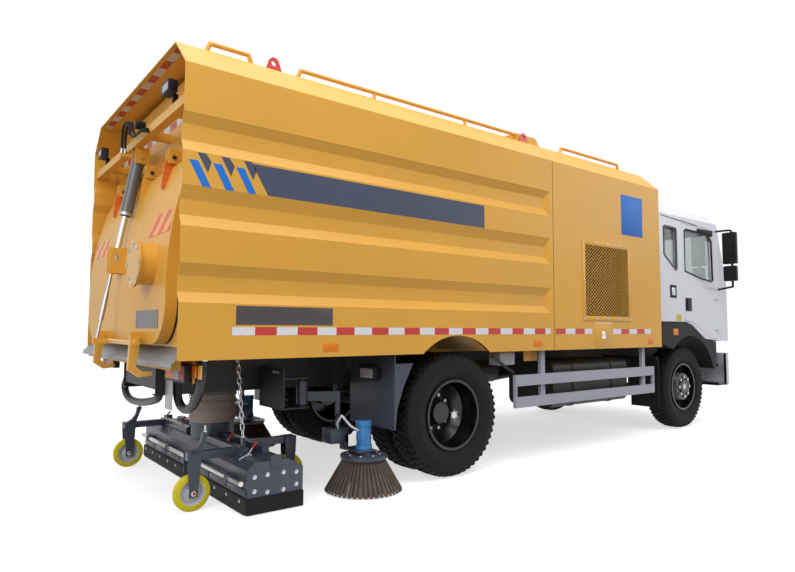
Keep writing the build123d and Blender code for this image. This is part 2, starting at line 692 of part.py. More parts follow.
def bowed_slab(near, far, x_half, z0, z1, bow_top):
    """A slab between two offsets forward of the bowed face, upright again above bow_top."""
    def edge(offset):
        heights = (z0, DOOR_BEND_Z, (DOOR_BEND_Z + bow_top) / 2, bow_top, z1)
        return [Vector(-x_half, y_at(face_d(min(z, bow_top)) + offset), z) for z in heights]

    loop = []
    ends = []
    for low, bend, middle, high, top in (edge(near), edge(far)):
        loop += [Edge.make_line(low, bend), Edge.make_three_point_arc(bend, middle, high)]
        if z1 > bow_top:
            loop.append(Edge.make_line(high, top))
        ends.append((low, top if z1 > bow_top else high))
    loop += [Edge.make_line(ends[0][i], ends[1][i]) for i in (0, 1)]
    return Solid.extrude(Face(Wire(loop)), Vector(2 * x_half, 0, 0))


def door_slab(near, far):
    """The bowed slab, a little larger than the tailgate on every side."""
    return bowed_slab(near, far, DOOR_HALF + 30, DOOR_BOTTOM - 30, DOOR_TOP + 30, DOOR_TOP + 30)


def door_outline(inset, d0, d1):
    """The tailgate's rounded outline, inset all round, as a prism along the truck."""
    half = DOOR_HALF - inset
    low, top = DOOR_BOTTOM + inset, DOOR_TOP - inset
    prism = block((-half, half), (d0, d1), (low, top))
    across = prism.edges().filter_by(Axis.Y)
    lower = across.sort_by(Axis.Z)[0:2]
    upper = across.sort_by(Axis.Z)[2:4]
    prism = prism.fillet(max(DOOR_LOW_CORNER - inset, 5), lower)
    upper = [e for e in prism.edges().filter_by(Axis.Y)
             if abs(e.center().Z - top) < 1 and abs(abs(e.center().X) - half) < 1]
    return prism.fillet(max(DOOR_TOP_CORNER - inset, 5), upper)


def rear_door():
    """Bowed tailgate: an outer skin with a rim all round, open to the inside."""
    outer = door_slab(0, DOOR_RIM) & door_outline(0, -300, 500)
    inner = door_slab(DOOR_SHEET, DOOR_RIM + 10) & door_outline(DOOR_SHEET, -300, 500)
    return outer - inner


def door_seal():
    """Rubber seal between the rim and the end wall, on the end wall."""
    near = DOOR_RIM + CLEAR
    ring = door_slab(near, near + SEAL_T)
    return (ring & door_outline(0, -300, 500)) - door_outline(SEAL_W, -300, 500)


def end_wall():
    """Rear wall of the hopper round the discharge opening; above the door it runs up under the hood."""
    near = DOOR_RIM + SEAL_T + 2 * CLEAR
    top = ROOF_Z - SHEET - 42
    width = BODY_HALF - GROOVE_DEPTH - SHEET - CLEAR
    wall = bowed_slab(near, near + END_WALL_T, width, SKIRT_Z + 10, top, DOOR_TOP)
    lid = outline_y([(-width - 5, SKIRT_Z), (-width - 5, EAVE_Z - 40), (-RIDGE_HALF + 35, top + 10),
                     (RIDGE_HALF - 35, top + 10), (width + 5, EAVE_Z - 40), (width + 5, SKIRT_Z)], -100,
                     700)
    return (wall & lid) - door_outline(SEAL_W + 20, -300, 700)


HINGE_EAR_T = 16.0
HINGE_GAP = 5.0


def door_hinges():
    """Ear plates and pins on the end wall that the tailgate's arms hang from."""
    parts = []
    wall_d = face_d(DOOR_TOP) + DOOR_RIM + SEAL_T + 2 * CLEAR - CLEAR
    for x in HINGE_X:
        for s in (-1, 1):
            for side in (-1, 1):
                centre = s * x + side * (HINGE_EAR_T + HINGE_GAP)
                ear = block((centre - HINGE_EAR_T / 2, centre + HINGE_EAR_T / 2), (HINGE_D - 40, wall_d),
                            (HINGE_Z - 40, HINGE_Z + 60))
                parts.append(ear)
            reach = 1.5 * HINGE_EAR_T + HINGE_GAP + 8
            parts.append(rod((s * x - reach, HINGE_D, HINGE_Z), (s * x + reach, HINGE_D, HINGE_Z),
                             HINGE_PIN_R))
    return fuse(parts)


def off_the_door(shape):
    """Trim a fitting so that it seats against the bowed outer face of the tailgate."""
    return shape - bowed_slab(-CLEAR, 400, DOOR_HALF, DOOR_BOTTOM, DOOR_TOP + CLEAR, DOOR_TOP)


def door_arms():
    """Hinge arms, clevis, latch mechanism and the blanked clean-out stub on the tailgate."""
    parts = []
    for x in HINGE_X:
        for s in (-1, 1):
            top = face_d(DOOR_TOP - 120) - CLEAR
            arm = outline_x([
                (HINGE_D - 30, HINGE_Z + 30), (HINGE_D + 30, HINGE_Z + 30), (HINGE_D + 30, HINGE_Z - 30),
                (face_d(DOOR_TOP) + 2, DOOR_TOP + 2), (face_d(DOOR_TOP) + 2, DOOR_TOP - 2),
                (top + 6, DOOR_TOP - 120), (top - 14, DOOR_TOP - 160), (top - 34, DOOR_TOP - 150),
                (HINGE_D - 60, HINGE_Z - 60)],
                s * x - HINGE_EAR_T / 2, s * x + HINGE_EAR_T / 2)
            bore = rod((s * x - 20, HINGE_D, HINGE_Z), (s * x + 20, HINGE_D, HINGE_Z),
                       HINGE_PIN_R + PIN_FIT)
            parts.append(off_the_door(arm - bore))
    return parts


FLANGE_X = -755.0
FLANGE_Z = 1600.0
STUB_R = 135.0
STUB_D = -125.0


def clean_out():
    """Short pipe stub on the tailgate, closed by a bolted blind flange."""
    stub = rod((FLANGE_X, 20, FLANGE_Z), (FLANGE_X, STUB_D, FLANGE_Z), STUB_R)
    stub = stub - rod((FLANGE_X, 25, FLANGE_Z), (FLANGE_X, STUB_D + 5, FLANGE_Z), STUB_R - 6)
    flange = rod((FLANGE_X, STUB_D - 12, FLANGE_Z), (FLANGE_X, STUB_D + 2, FLANGE_Z), STUB_R + 18)
    return off_the_door(stub + flange)


CLEVIS_HALF = 38.0
CLEVIS_T = 12.0


def clevis():
    """Two slotted side plates on the tailgate's centre line that trap the rod's eye, on outward feet."""
    low, high = CYL_EYE_Z - 90, CYL_EYE_Z + 100
    sides = []
    for s in (-1, 1):
        plate = block((s * (CLEVIS_HALF - CLEVIS_T), s * CLEVIS_HALF), (CYL_EYE_D - 45, 10), (low, high))
        foot = block((s * (CLEVIS_HALF - 1), s * (CLEVIS_HALF + 26)), (face_d(low) - 8, 10), (low, high))
        slot = [rod((s * (CLEVIS_HALF - 20), CYL_EYE_D, z), (s * (CLEVIS_HALF + 10), CYL_EYE_D, z), 14.0)
                for z in (CYL_EYE_Z, CYL_EYE_Z + 40)]
        slot.append(block((s * (CLEVIS_HALF - 20), s * (CLEVIS_HALF + 10)),
                          (CYL_EYE_D - 14, CYL_EYE_D + 14),
                          (CYL_EYE_Z, CYL_EYE_Z + 40)))
        sides.append(off_the_door(cut(plate, slot) + foot))
    return sides


LATCH_Z = 1075.0
LATCH_D = -95.0
HOOK_X = (-700.0, 300.0)


def latch():
    """Turnbuckle, crank, cross shaft and two hooks that curl under the apron's keeper."""
    shaft = rod((-760, LATCH_D, LATCH_Z + 20), (360, LATCH_D, LATCH_Z + 20), 17.0)
    parts = [shaft]
    for x in HOOK_X:
        hook = outline_x([
            (LATCH_D - 30, LATCH_Z + 60), (LATCH_D + 26, LATCH_Z + 60), (LATCH_D + 26, LATCH_Z - 20),
            (LATCH_D + 8, LATCH_Z - 130), (LATCH_D + 50, LATCH_Z - 165), (LATCH_D + 110, LATCH_Z - 165),
            (LATCH_D + 110, LATCH_Z - 190), (LATCH_D + 30, LATCH_Z - 200), (LATCH_D - 40, LATCH_Z - 150)],
            x - 18, x + 18)
        lug = block((x + 22, x + 40), (LATCH_D - 25, face_d(DOOR_BOTTOM) - CLEAR),
                    (LATCH_Z + 18, LATCH_Z + 90))
        parts += [hook, lug]
    crank = block((-14, 14), (LATCH_D - 110, LATCH_D + 20), (LATCH_Z, LATCH_Z + 40))
    low, high = Vector(0, LATCH_D - 85, LATCH_Z + 20), Vector(0, CYL_EYE_D - 20, CYL_EYE_Z - 85)
    link = rod(tuple(low), tuple(high), 11.0)
    sleeve = rod(tuple(low + (high - low) * 0.3), tuple(low + (high - low) * 0.7), 17.0)
    tie = rod((-CLEVIS_HALF + CLEVIS_T - CLEAR, high.Y, high.Z),
              (CLEVIS_HALF - CLEVIS_T + CLEAR, high.Y, high.Z), 13.0)
    return fuse(parts + [crank, link, sleeve, tie])


APRON_REAR_D = -35.0
APRON_LOW_Z = 985.0
APRON_FRONT_D = END_WALL_D - CLEAR
APRON_TOP_Z = 1075.0
APRON_T = 6.0
KEEPER_Z = (940.0, 1030.0)


def apron():
    """Sloping grey tread plate under the tailgate, with its keeper beam below."""
    width = BODY_HALF - SHEET - CLEAR
    plate = outline_x([
        (APRON_REAR_D, APRON_LOW_Z), (APRON_FRONT_D, APRON_TOP_Z), (APRON_FRONT_D, APRON_TOP_Z - APRON_T),
        (APRON_REAR_D + 4, APRON_LOW_Z - APRON_T), (APRON_REAR_D + 4, APRON_LOW_Z - 26),
        (APRON_REAR_D, APRON_LOW_Z - 26)], -width, width)
    return plate


def keeper():
    """Beam under the apron that the latch hooks pull up against."""
    beam = block((-1150, 1150), (APRON_FRONT_D - 62, APRON_FRONT_D), KEEPER_Z)
    under = APRON_T + CLEAR
    above = outline_x([(APRON_REAR_D + 4, APRON_LOW_Z - under), (APRON_FRONT_D, APRON_TOP_Z - under),
                       (APRON_FRONT_D + 1, APRON_TOP_Z + 50), (APRON_REAR_D, APRON_LOW_Z + 50)], -1160,
                       1160)
    return beam - above


HOOD_BEAM_D = (20.0, 80.0)
HOOD_BEAM_Z = (2555.0, 2615.0)
UNION_X = 80.0
UNION_TOP_Z = 2520.0


def hood_beam():
    """Square tube across the hood with the cylinder's hanging bracket and its braces to the end wall."""
    half = BODY_HALF - SHEET - CLEAR
    beam = block((-half, half), HOOD_BEAM_D, HOOD_BEAM_Z)
    ears = [
        block((s * (CYL_BARREL_R + 4), s * (CYL_BARREL_R + 16)), (CYL_TOP_D - 40, CYL_TOP_D + 60),
              (CYL_TOP_Z - 50, HOOD_BEAM_Z[0]))
        for s in (-1, 1)
    ]
    pin = rod((-CYL_BARREL_R - 26, CYL_TOP_D, CYL_TOP_Z), (CYL_BARREL_R + 26, CYL_TOP_D, CYL_TOP_Z),
              CYL_PIN_R)
    wall_d = face_d(DOOR_TOP) + DOOR_RIM + SEAL_T + CLEAR
    braces = [block((x - 20, x + 20), (HOOD_BEAM_D[1] - 2, wall_d), HOOD_BEAM_Z)
              for x in (-900, -300, 300, 900)]
    union = block((CYL_BARREL_R + 15, UNION_X + 20), (-48, CYL_TOP_D - 10), (UNION_TOP_Z - 24, UNION_TOP_Z))
    return fuse([beam, pin, union] + ears + braces)


def cylinder_axis():
    top = Vector(0, y_at(CYL_TOP_D), CYL_TOP_Z)
    eye = Vector(0, y_at(CYL_EYE_D), CYL_EYE_Z)
    return top, eye


def along_cylinder(a, b, radius):
    """A round bar on the cylinder's line from a to b millimetres below its top pin."""
    top, eye = cylinder_axis()
    way = (eye - top).normalized()
    return Solid.make_cylinder(radius, b - a, Plane(top + way * a, z_dir=way))


def cylinder_barrel():
    """Barrel with its eye at the top and a bore down to the gland."""
    half = CYL_BARREL_R - 4
    lug = rod((-half, CYL_TOP_D, CYL_TOP_Z), (half, CYL_TOP_D, CYL_TOP_Z), 36.0)
    neck = along_cylinder(10, 60, 30.0)
    pin_hole = rod((-60, CYL_TOP_D, CYL_TOP_Z), (60, CYL_TOP_D, CYL_TOP_Z), CYL_PIN_R + PIN_FIT)
    body = along_cylinder(50, CYL_BARREL_LEN, CYL_BARREL_R)
    slide = along_cylinder(75, CYL_BARREL_LEN + 5, CYL_ROD_R + PIN_FIT)
    return (lug + neck - pin_hole) + (body - slide)


def cylinder_rod():
    """Chromed rod with the eye that the tailgate's clevis traps."""
    top, eye = cylinder_axis()
    length = (eye - top).length
    stem = along_cylinder(250, length - 22, CYL_ROD_R)
    head = rod((-CLEVIS_HALF + CLEVIS_T + 4, CYL_EYE_D, CYL_EYE_Z),
               (CLEVIS_HALF - CLEVIS_T - 4, CYL_EYE_D, CYL_EYE_Z),
               30.0)
    return stem + head


LAMP_X = (690.0, 1085.0)
LAMP_D = (100.0, 150.0)
LAMP_Z = (852.0, 968.0)
MARKER_X = (1090.0, 1235.0)
MARKER_D = (140.0, 175.0)
MARKER_Z = (885.0, 968.0)


def tail_lamps():
    """Rear lamp clusters hung under the floor, each with a corner marker beside it."""
    lamps = []
    for s in (-1, 1):
        cluster = block((s * LAMP_X[0], s * LAMP_X[1]), LAMP_D, LAMP_Z)
        marker = block((s * MARKER_X[0], s * MARKER_X[1]), MARKER_D, MARKER_Z)
        hanger = block((s * (LAMP_X[0] + 30), s * (MARKER_X[0] + 20)), (LAMP_D[1] - 1, LAMP_D[1] + 5),
                       (LAMP_Z[0], FLOOR_Z - CLEAR))
        lamps.append(fuse([cluster, marker, hanger]))
    return lamps


def wheel_lamps():
    """Flood lamps on the rear faces of the mudguards, over the brushes."""
    lamps = []
    for s in (-1, 1):
        head = block((s * 850, s * 1050), (GUARD_PLATE_D - 72, GUARD_PLATE_D - 12), (800, 900))
        foot = block((s * 930, s * 970), (GUARD_PLATE_D - 14, GUARD_PLATE_D - CLEAR), (820, 880))
        lamps.append(head + foot)
    return lamps


def work_lamps():
    """Two flood lamps and the reversing camera on the hood beam."""
    parts = []
    for s in (-1, 1):
        x = s * 930
        head = block((x - 75, x + 75), (-25, 35), (2680, 2760))
        foot = block((x - 15, x + 15), (25, 60), (HOOD_BEAM_Z[1] + CLEAR, 2690))
        parts.append(head + foot)
    camera = rod((-250, -30, 2660), (-250, 40, 2660), 32.0) + block((-270, -230), (25, 60),
                                                                    (HOOD_BEAM_Z[1] + CLEAR, 2650))
    parts.append(camera)
    return parts


HOSE_R = 30.0
HOSE_D = 223.0
THIN_HOSE_R = 9.0
THIN_HOSE_D = -12.0
VALVE_BOX_X = (-240.0, 320.0)
VALVE_BOX_D = (192.0, 255.0)
VALVE_BOX_Z = (785.0, 888.0)
# corners (x, z) of the two big hoses under the tail, and the radius of each bend
BIG_HOSES = [
    ([(480, FLOOR_Z - CLEAR), (480, 905), (1010, 650), (520, 560), (100, 622), (-185, 690),
      (-185, VALVE_BOX_Z[0] - CLEAR)],
     [150, 80, 240, 240, 60]),
    ([(-1060, FLOOR_Z - CLEAR), (-1060, 880), (-790, 620), (-560, 690), (-560, FLOOR_Z - CLEAR)],
     [200, 110, 90]),
]


def hose(points, bends, radius):
    """A plain tube along straight runs joined by arcs."""
    line = FilletPolyline(*[(x, y_at(d), z) for x, d, z in points], radius=bends)
    return sweep(Plane(line @ 0, z_dir=line % 0) * Circle(radius), path=line)


def hoses():
    """Big hoses looped under the tail, and the thin pair that arches over to the tailgate cylinder."""
    tubes = [hose([(x, HOSE_D, z) for x, z in corners], bends, HOSE_R) for corners, bends in BIG_HOSES]
    for x, d in ((0.0, THIN_HOSE_D), (24.0, THIN_HOSE_D - 24)):
        start = -430 - x
        low = HOOD_BEAM_Z[0] + 32 - x
        tubes.append(hose([(start, HOOD_BEAM_D[0] - CLEAR, low), (start, d, low), (-170, d, low), (-95, d, 2735),
                           (UNION_X, d, 2735), (UNION_X, d, UNION_TOP_Z + CLEAR)], [28, 45, 64, 64], THIN_HOSE_R))
    return tubes


def valve_box():
    """Box of hydraulic valves hung behind the rear cross member."""
    box = block(VALVE_BOX_X, VALVE_BOX_D, VALVE_BOX_Z)
    hanger = block((20, 60), (VALVE_BOX_D[1] - 6, VALVE_BOX_D[1]), (VALVE_BOX_Z[0] + 10, FLOOR_Z - CLEAR))
    return box + hanger


RAIL_TUBE_R = 15.0
# rear foot d, front foot d and the feet between, of each roof hand rail
ROOF_RAILS = [
    (203.0, 520.0, ()),
    (869.0, 3228.0, (1548.0, 2537.0)),
    (3880.0, 4940.0, ()),
]
LUG_D = (700.0, 3362.0)
ROOF_BOX_D = (3050.0, 3700.0)


def roof_rails():
    """Hand rails of bent tube along both ridges."""
    parts = []
    for s in (-1, 1):
        x = s * (RIDGE_HALF - 25)
        low, high = ROOF_Z + CLEAR, ROOF_Z + 62
        for rear, front, feet in ROOF_RAILS:
            run = pipe_run([(x, rear, low), (x, rear + 25, high), (x, front - 25, high), (x, front, low)],
                           RAIL_TUBE_R)
            for d in feet:
                run = run + rod((x, d, low), (x, d, high), RAIL_TUBE_R - 2)
            parts.append(run & block((-1300, 1300), (0, BODY_LEN), (low, high + 40)))
    return parts


def lifting_lugs():
    lugs = []
    for s in (-1, 1):
        x = s * (RIDGE_HALF - 25)
        for d in LUG_D:
            plate = outline_x([(d - 68, ROOF_Z + CLEAR), (d - 35, ROOF_Z + 95), (d - 15, ROOF_Z + 114),
                               (d + 15, ROOF_Z + 114), (d + 35, ROOF_Z + 95), (d + 68, ROOF_Z + CLEAR)],
                              x - 48 if s > 0 else x + 28, x - 28 if s > 0 else x + 48)
            eye = rod((x - 80, d, ROOF_Z + 72), (x + 80, d, ROOF_Z + 72), 20.0)
            lugs.append(plate - eye)
    return lugs


def roof_box():
    """Low folded hatch cover across the roof where hopper and housing meet."""
    rear, front = ROOF_BOX_D
    crest, brow = rear + (front - rear) * 5 / 13, front - (front - rear) / 7
    top = ROOF_Z + 124
    foot = ROOF_Z + CLEAR
    half = RIDGE_HALF - 110
    cover = outline_x([(rear, foot), (crest, top), (brow, top), (front, foot)], -half, half)
    room = outline_x([(rear + 2 * SHEET, foot - 1), (crest + SHEET, top - SHEET), (brow - SHEET, top - SHEET),
                      (front - 2 * SHEET, foot - 1)], -half + SHEET, half - SHEET)
    return cover - room


GUARD_PLATE_X = (620.0, 1215.0)
GUARD_PLATE_LOW_Z = 440.0


def rear_mudguards():
    """Plates behind the rear wheels, with a return down the outer edge that follows the tyre."""
    parts = []
    d = GUARD_PLATE_D
    for s in (-1, 1):
        plate = block((s * GUARD_PLATE_X[0], s * GUARD_PLATE_X[1]), (d, d + 10),
                      (GUARD_PLATE_LOW_Z, FLOOR_Z - CLEAR))
        stay = block((s * (GUARD_PLATE_X[0] - 60), s * (GUARD_PLATE_X[0] + 20)), (d - 52, d + 2),
                     (860, FLOOR_Z - CLEAR))
        edge = outline_x([(d, SKIRT_Z - 70), (d + 178, SKIRT_Z - 70), (d + 88, SKIRT_Z - 240),
                          (d + 28, 600),
                          (d + 10, GUARD_PLATE_LOW_Z), (d, GUARD_PLATE_LOW_Z)],
                         s * (GUARD_PLATE_X[1] - 8), s * GUARD_PLATE_X[1])
        parts.append(fuse([plate, stay, edge]))
    return parts


# ---------------------------------------------------------------- suction nozzle
def nozzle_box():
    """Full-width suction head: a folded hood open to the road, with end plates."""
    rear, front = NOZZLE_REAR_D, NOZZLE_FRONT_D
    section = [(rear, NOZZLE_BOTTOM), (rear, NOZZLE_TOP - 45), (rear + 50, NOZZLE_TOP),
               (front - 110, NOZZLE_TOP),
               (front, NOZZLE_TOP - 65), (front, NOZZLE_BOTTOM)]
    w = NOZZLE_WALL
    hollow = [(rear + w, NOZZLE_BOTTOM - 5), (rear + w, NOZZLE_TOP - 50), (rear + 54, NOZZLE_TOP - w),
              (front - 113, NOZZLE_TOP - w), (front - w, NOZZLE_TOP - 71), (front - w, NOZZLE_BOTTOM - 5)]
    shell = (outline_x(section, -NOZZLE_HALF, NOZZLE_HALF)
             - outline_x(hollow, -NOZZLE_HALF + w, NOZZLE_HALF - w))
    neck = turned_z([(SPIGOT_R - SHEET, NOZZLE_TOP - 5), (SPIGOT_R, NOZZLE_TOP - 5), (SPIGOT_R, 520),
                     (SPIGOT_R - SHEET, 520)], 0, DUCT_D)
    mouth = rod((0, DUCT_D, NOZZLE_TOP - 40), (0, DUCT_D, NOZZLE_TOP + 20), SPIGOT_R - SHEET)
    return (shell + neck) - mouth


def nozzle_skirts():
    """Rubber curtains bolted round the nozzle's lower edge."""
    w = 12.0
    out = 0.3
    rear = block((-NOZZLE_HALF + 20, NOZZLE_HALF - 20), (NOZZLE_REAR_D - out - w, NOZZLE_REAR_D - out),
                 (SKIRT_GAP, 110))
    front = block((-NOZZLE_HALF + 20, NOZZLE_HALF - 20), (NOZZLE_FRONT_D + out, NOZZLE_FRONT_D + out + w),
                  (SKIRT_GAP + 12, 110))
    ends = [block((s * (NOZZLE_HALF + out), s * (NOZZLE_HALF + out + w)), (NOZZLE_REAR_D, NOZZLE_FRONT_D),
                  (SKIRT_GAP, 110))
            for s in (-1, 1)]
    return [rear, front] + ends


POST_TOP_Z = 500.0
TIE_BAR_R = 16.0


def nozzle_frame():
    """Cross bars and castor brackets that carry the nozzle on its four wheels."""
    parts = []
    bar_z = (NOZZLE_TOP - 2, NOZZLE_TOP + 50)
    for d in (NOZZLE_REAR_D + 60, NOZZLE_FRONT_D - 190):
        parts.append(block((-900, -DUCT_R - 20), (d, d + 50), bar_z))
        parts.append(block((DUCT_R + 20, 900), (d, d + 50), bar_z))
    for name, x, d in CASTERS:
        rear = d < DUCT_D
        reach = (d - 30, NOZZLE_REAR_D + 100) if rear else (NOZZLE_FRONT_D - 190, d + 30)
        parts.append(block((x - 25, x + 25), reach, (bar_z[0], bar_z[1])))
        legs = [block((x + e * (CASTER_WIDTH / 2 + 6), x + e * (CASTER_WIDTH / 2 + 14)), (d - 28, d + 28),
                      (CASTER_R - 25, bar_z[1])) for e in (-1, 1)]
        top = block((x - CASTER_WIDTH / 2 - 14, x + CASTER_WIDTH / 2 + 14), (d - 40, d + 40), bar_z)
        axle = rod((x - CASTER_WIDTH / 2 - 18, d, CASTER_R), (x + CASTER_WIDTH / 2 + 18, d, CASTER_R),
                   CASTER_AXLE_R)
        parts += legs + [top, axle]
        if rear:
            # gusset that sweeps up from the fork to the height-setting post
            parts.append(outline_x([(d - 20, bar_z[1] - 2), (d + 55, bar_z[1] - 2), (d + 100, POST_TOP_Z),
                                    (d + 62, POST_TOP_Z), (d + 50, bar_z[1] + 60), (d + 20, bar_z[1] + 20)],
                                   x - 16, x + 16))
    # round tie bar along the rear face, held in ring clamps
    bar_d, bar_height = NOZZLE_REAR_D - 32, 205.0
    parts.append(rod((-NOZZLE_HALF + 20, bar_d, bar_height), (NOZZLE_HALF - 20, bar_d, bar_height),
                     TIE_BAR_R))
    for x in (-900, -350, 350, 900):
        parts.append(rod((x - 14, bar_d, bar_height), (x + 14, bar_d, bar_height), TIE_BAR_R + 11))
        parts.append(block((x - 14, x + 14), (bar_d, NOZZLE_REAR_D + 2),
                           (bar_height - 12, bar_height + 12)))
    for x, eye_top, _, _ in CHAINS:
        parts.append(block((x - 15, x + 15), (CHAIN_D - 10, CHAIN_D + 10), (NOZZLE_TOP - 1, eye_top)))
    return fuse(parts)


CHAIN_D = 600.0
# foot x, foot z, head x and links of each lifting chain
CHAINS = [
    (-825.0, 440.0, -700.0, 14),
    (220.0, 402.0, 268.0, 15),
]
LINK_HALF = 30.0
LINK_W = 17.0
LINK_T = 9.0


def lift_chain(foot_x, foot_z, head_x, links):
    """Chain of links, each a quarter turn from the last, from the nozzle up to a plate under the floor."""
    def ring(half, wide):
        return [(-wide, -half + 12), (-wide + 8, -half), (wide - 8, -half), (wide, -half + 12),
                (wide, half - 12), (wide - 8, half), (-wide + 8, half), (-wide, half - 12)]

    flat = outline_y(ring(LINK_HALF, LINK_W), CHAIN_D - LINK_T / 2, CHAIN_D + LINK_T / 2)
    flat = flat - outline_y(ring(LINK_HALF - LINK_T, LINK_W - LINK_T + 2), CHAIN_D - LINK_T,
                            CHAIN_D + LINK_T)
    flat = flat.moved(Location((0, -y_at(CHAIN_D), 0)))
    foot = Vector(foot_x, y_at(CHAIN_D), foot_z + CLEAR)
    head = Vector(head_x, y_at(CHAIN_D), FLOOR_Z - 30)
    run = head - foot
    lean = degrees(atan2(run.X, run.Z))
    first = LINK_HALF + 5
    pitch = (run.length - LINK_HALF - first) / (links - 1)
    parts = []
    for i in range(links):
        at = foot + run.normalized() * (first + i * pitch)
        parts.append(flat.moved(Location((at.X, at.Y, at.Z), (0, lean, 0)) * Location((0, 0, 0),
                                                                                      (0, 0, 90 * (i % 2)))))
    hook = block((foot_x - 12, foot_x + 12), (CHAIN_D - 9, CHAIN_D + 9), (foot_z + CLEAR, foot_z + 14))
    plate = block((head_x - 25, head_x + 25), (CHAIN_D - 9, CHAIN_D + 9), (FLOOR_Z - 44, FLOOR_Z - CLEAR))
    return fuse(parts + [hook, plate])


def caster_wheel(x, d):
    half = CASTER_WIDTH / 2
    hub = half + 4
    return turned_x([(x - hub, CASTER_AXLE_R + PIN_FIT), (x - hub, 28), (x - half, 32),
                     (x - half, CASTER_R - 6), (x - half + 6, CASTER_R),
                     (x + half - 6, CASTER_R), (x + half, CASTER_R - 6), (x + half, 32), (x + hub, 28),
                     (x + hub, CASTER_AXLE_R + PIN_FIT)], d, CASTER_R)


DUCT_BOTTOM = 455.0
DUCT_TOP = 1000.0
DUCT_RIBS = 9


def suction_duct():
    """Ribbed flexible hose from the nozzle's neck up to the hopper floor."""
    pitch = (DUCT_TOP - DUCT_BOTTOM) / DUCT_RIBS
    outer = [(DUCT_R - 10, DUCT_BOTTOM)]
    for i in range(DUCT_RIBS):
        z = DUCT_BOTTOM + i * pitch
        outer += [(DUCT_R - 10, z + 0.2 * pitch), (DUCT_R, z + 0.4 * pitch), (DUCT_R, z + 0.6 * pitch),
                  (DUCT_R - 10, z + 0.8 * pitch)]
    outer.append((DUCT_R - 10, DUCT_TOP))
    inner = [(DUCT_R - DUCT_WALL, DUCT_TOP), (DUCT_R - DUCT_WALL, DUCT_BOTTOM)]
    return turned_z(outer + inner, 0, DUCT_D)


def duct_collar():
    """Steel spigot under the floor that the hose clamps to."""
    return turned_z([(SPIGOT_R - SHEET, DUCT_TOP - 50), (SPIGOT_R, DUCT_TOP - 50), (SPIGOT_R, FLOOR_Z + 2),
                     (SPIGOT_R - SHEET, FLOOR_Z + 2)], 0, DUCT_D)


# ---------------------------------------------------------------- side brushes
def brush_bracket(s):
    """Plate and pivot post that carry the brush arm under the rail."""
    plate = block((s * 300, s * (SWING_X + 60)), (SWING_D - 190, SWING_D - 175), (600, 900))
    post = rod((s * SWING_X, SWING_D, 600), (s * SWING_X, SWING_D, 830), SWING_POST_R)
    shelf_low = block((s * (SWING_X - 45), s * (SWING_X + 45)), (SWING_D - 180, SWING_D + 35), (600, 612))
    shelf_high = block((s * (SWING_X - 45), s * (SWING_X + 45)), (SWING_D - 180, SWING_D + 35), (818, 830))
    hanger = block((s * (RAIL_OUTER_X + CLEAR), s * (RAIL_OUTER_X + 60)), (SWING_D - 175, SWING_D - 60),
                   (740, 900))
    whole = fuse([plate, post, shelf_low, shelf_high, hanger])
    return whole - block((s * 200, s * (RAIL_OUTER_X + CLEAR)), (SWING_D - 300, SWING_D + 100), (500, 1000))


ARM_Z = (630.0, 800.0)
POST_X = 880.0
POST_D = 1330.0
POST_R = 20.0


def brush_arm(s):
    """Swinging arm: a sleeve on the post, a diagonal beam and a vertical guide tube at its end."""
    sleeve = rod((s * SWING_X, SWING_D, ARM_Z[0]), (s * SWING_X, SWING_D, ARM_Z[1]), 42.0)
    sleeve = sleeve - rod((s * SWING_X, SWING_D, 500), (s * SWING_X, SWING_D, 900), SWING_POST_R + PIN_FIT)
    beam = outline_z([(s * (SWING_X - 24), SWING_D + 30), (s * (SWING_X + 24), SWING_D + 20),
                      (s * (POST_X + 24), POST_D), (s * (POST_X - 24), POST_D + 10)], 650, 720)
    guide = rod((s * POST_X, POST_D, 330), (s * POST_X, POST_D, 720), POST_R)
    beam = beam - rod((s * SWING_X, SWING_D, 500), (s * SWING_X, SWING_D, 900), SWING_POST_R + PIN_FIT)
    return fuse([sleeve, beam, guide])


def brush_head(s):
    """Lifting head: a sliding box on the guide, a plate out to the hydraulic motor."""
    slider = block((s * (POST_X - 70), s * (POST_X + 60)), (POST_D - 95, POST_D + 60), (340, 450))
    slider = slider - rod((s * POST_X, POST_D, 300), (s * POST_X, POST_D, 500), POST_R + PIN_FIT)
    plate = block((s * POST_X, s * (BRUSH_X + 70)), (POST_D + 40, BRUSH_D + 70),
                  (BRISTLE_TOP_Z + 45, BRISTLE_TOP_Z + 57))
    gusset = block((s * (POST_X - 20), s * (POST_X + 60)), (POST_D + 30, POST_D + 60),
                   (BRISTLE_TOP_Z + 45, 400))
    plate = plate - rod((s * BRUSH_X, BRUSH_D, 200), (s * BRUSH_X, BRUSH_D, 400), 24.0)
    seat_z = BRISTLE_TOP_Z + 57 + CLEAR
    motor = rod((s * BRUSH_X, BRUSH_D, seat_z), (s * BRUSH_X, BRUSH_D, 510), 62.0)
    shaft = rod((s * BRUSH_X, BRUSH_D, BRISTLE_TOP_Z + 40 + CLEAR), (s * BRUSH_X, BRUSH_D, seat_z + 5),
                20.0)
    return fuse([slider, plate, gusset]), motor + shaft


def brush_disc(s):
    """Turning disc below the motor with its hub."""
    return turned_z([(0, BRISTLE_TOP_Z), (BRUSH_DISC_R, BRISTLE_TOP_Z), (BRUSH_DISC_R, BRISTLE_TOP_Z + 22),
                     (60, BRISTLE_TOP_Z + BRUSH_DISC_T), (60, BRISTLE_TOP_Z + 40), (0, BRISTLE_TOP_Z + 40)],
                    s * BRUSH_X, BRUSH_D)


TUFTS = 32


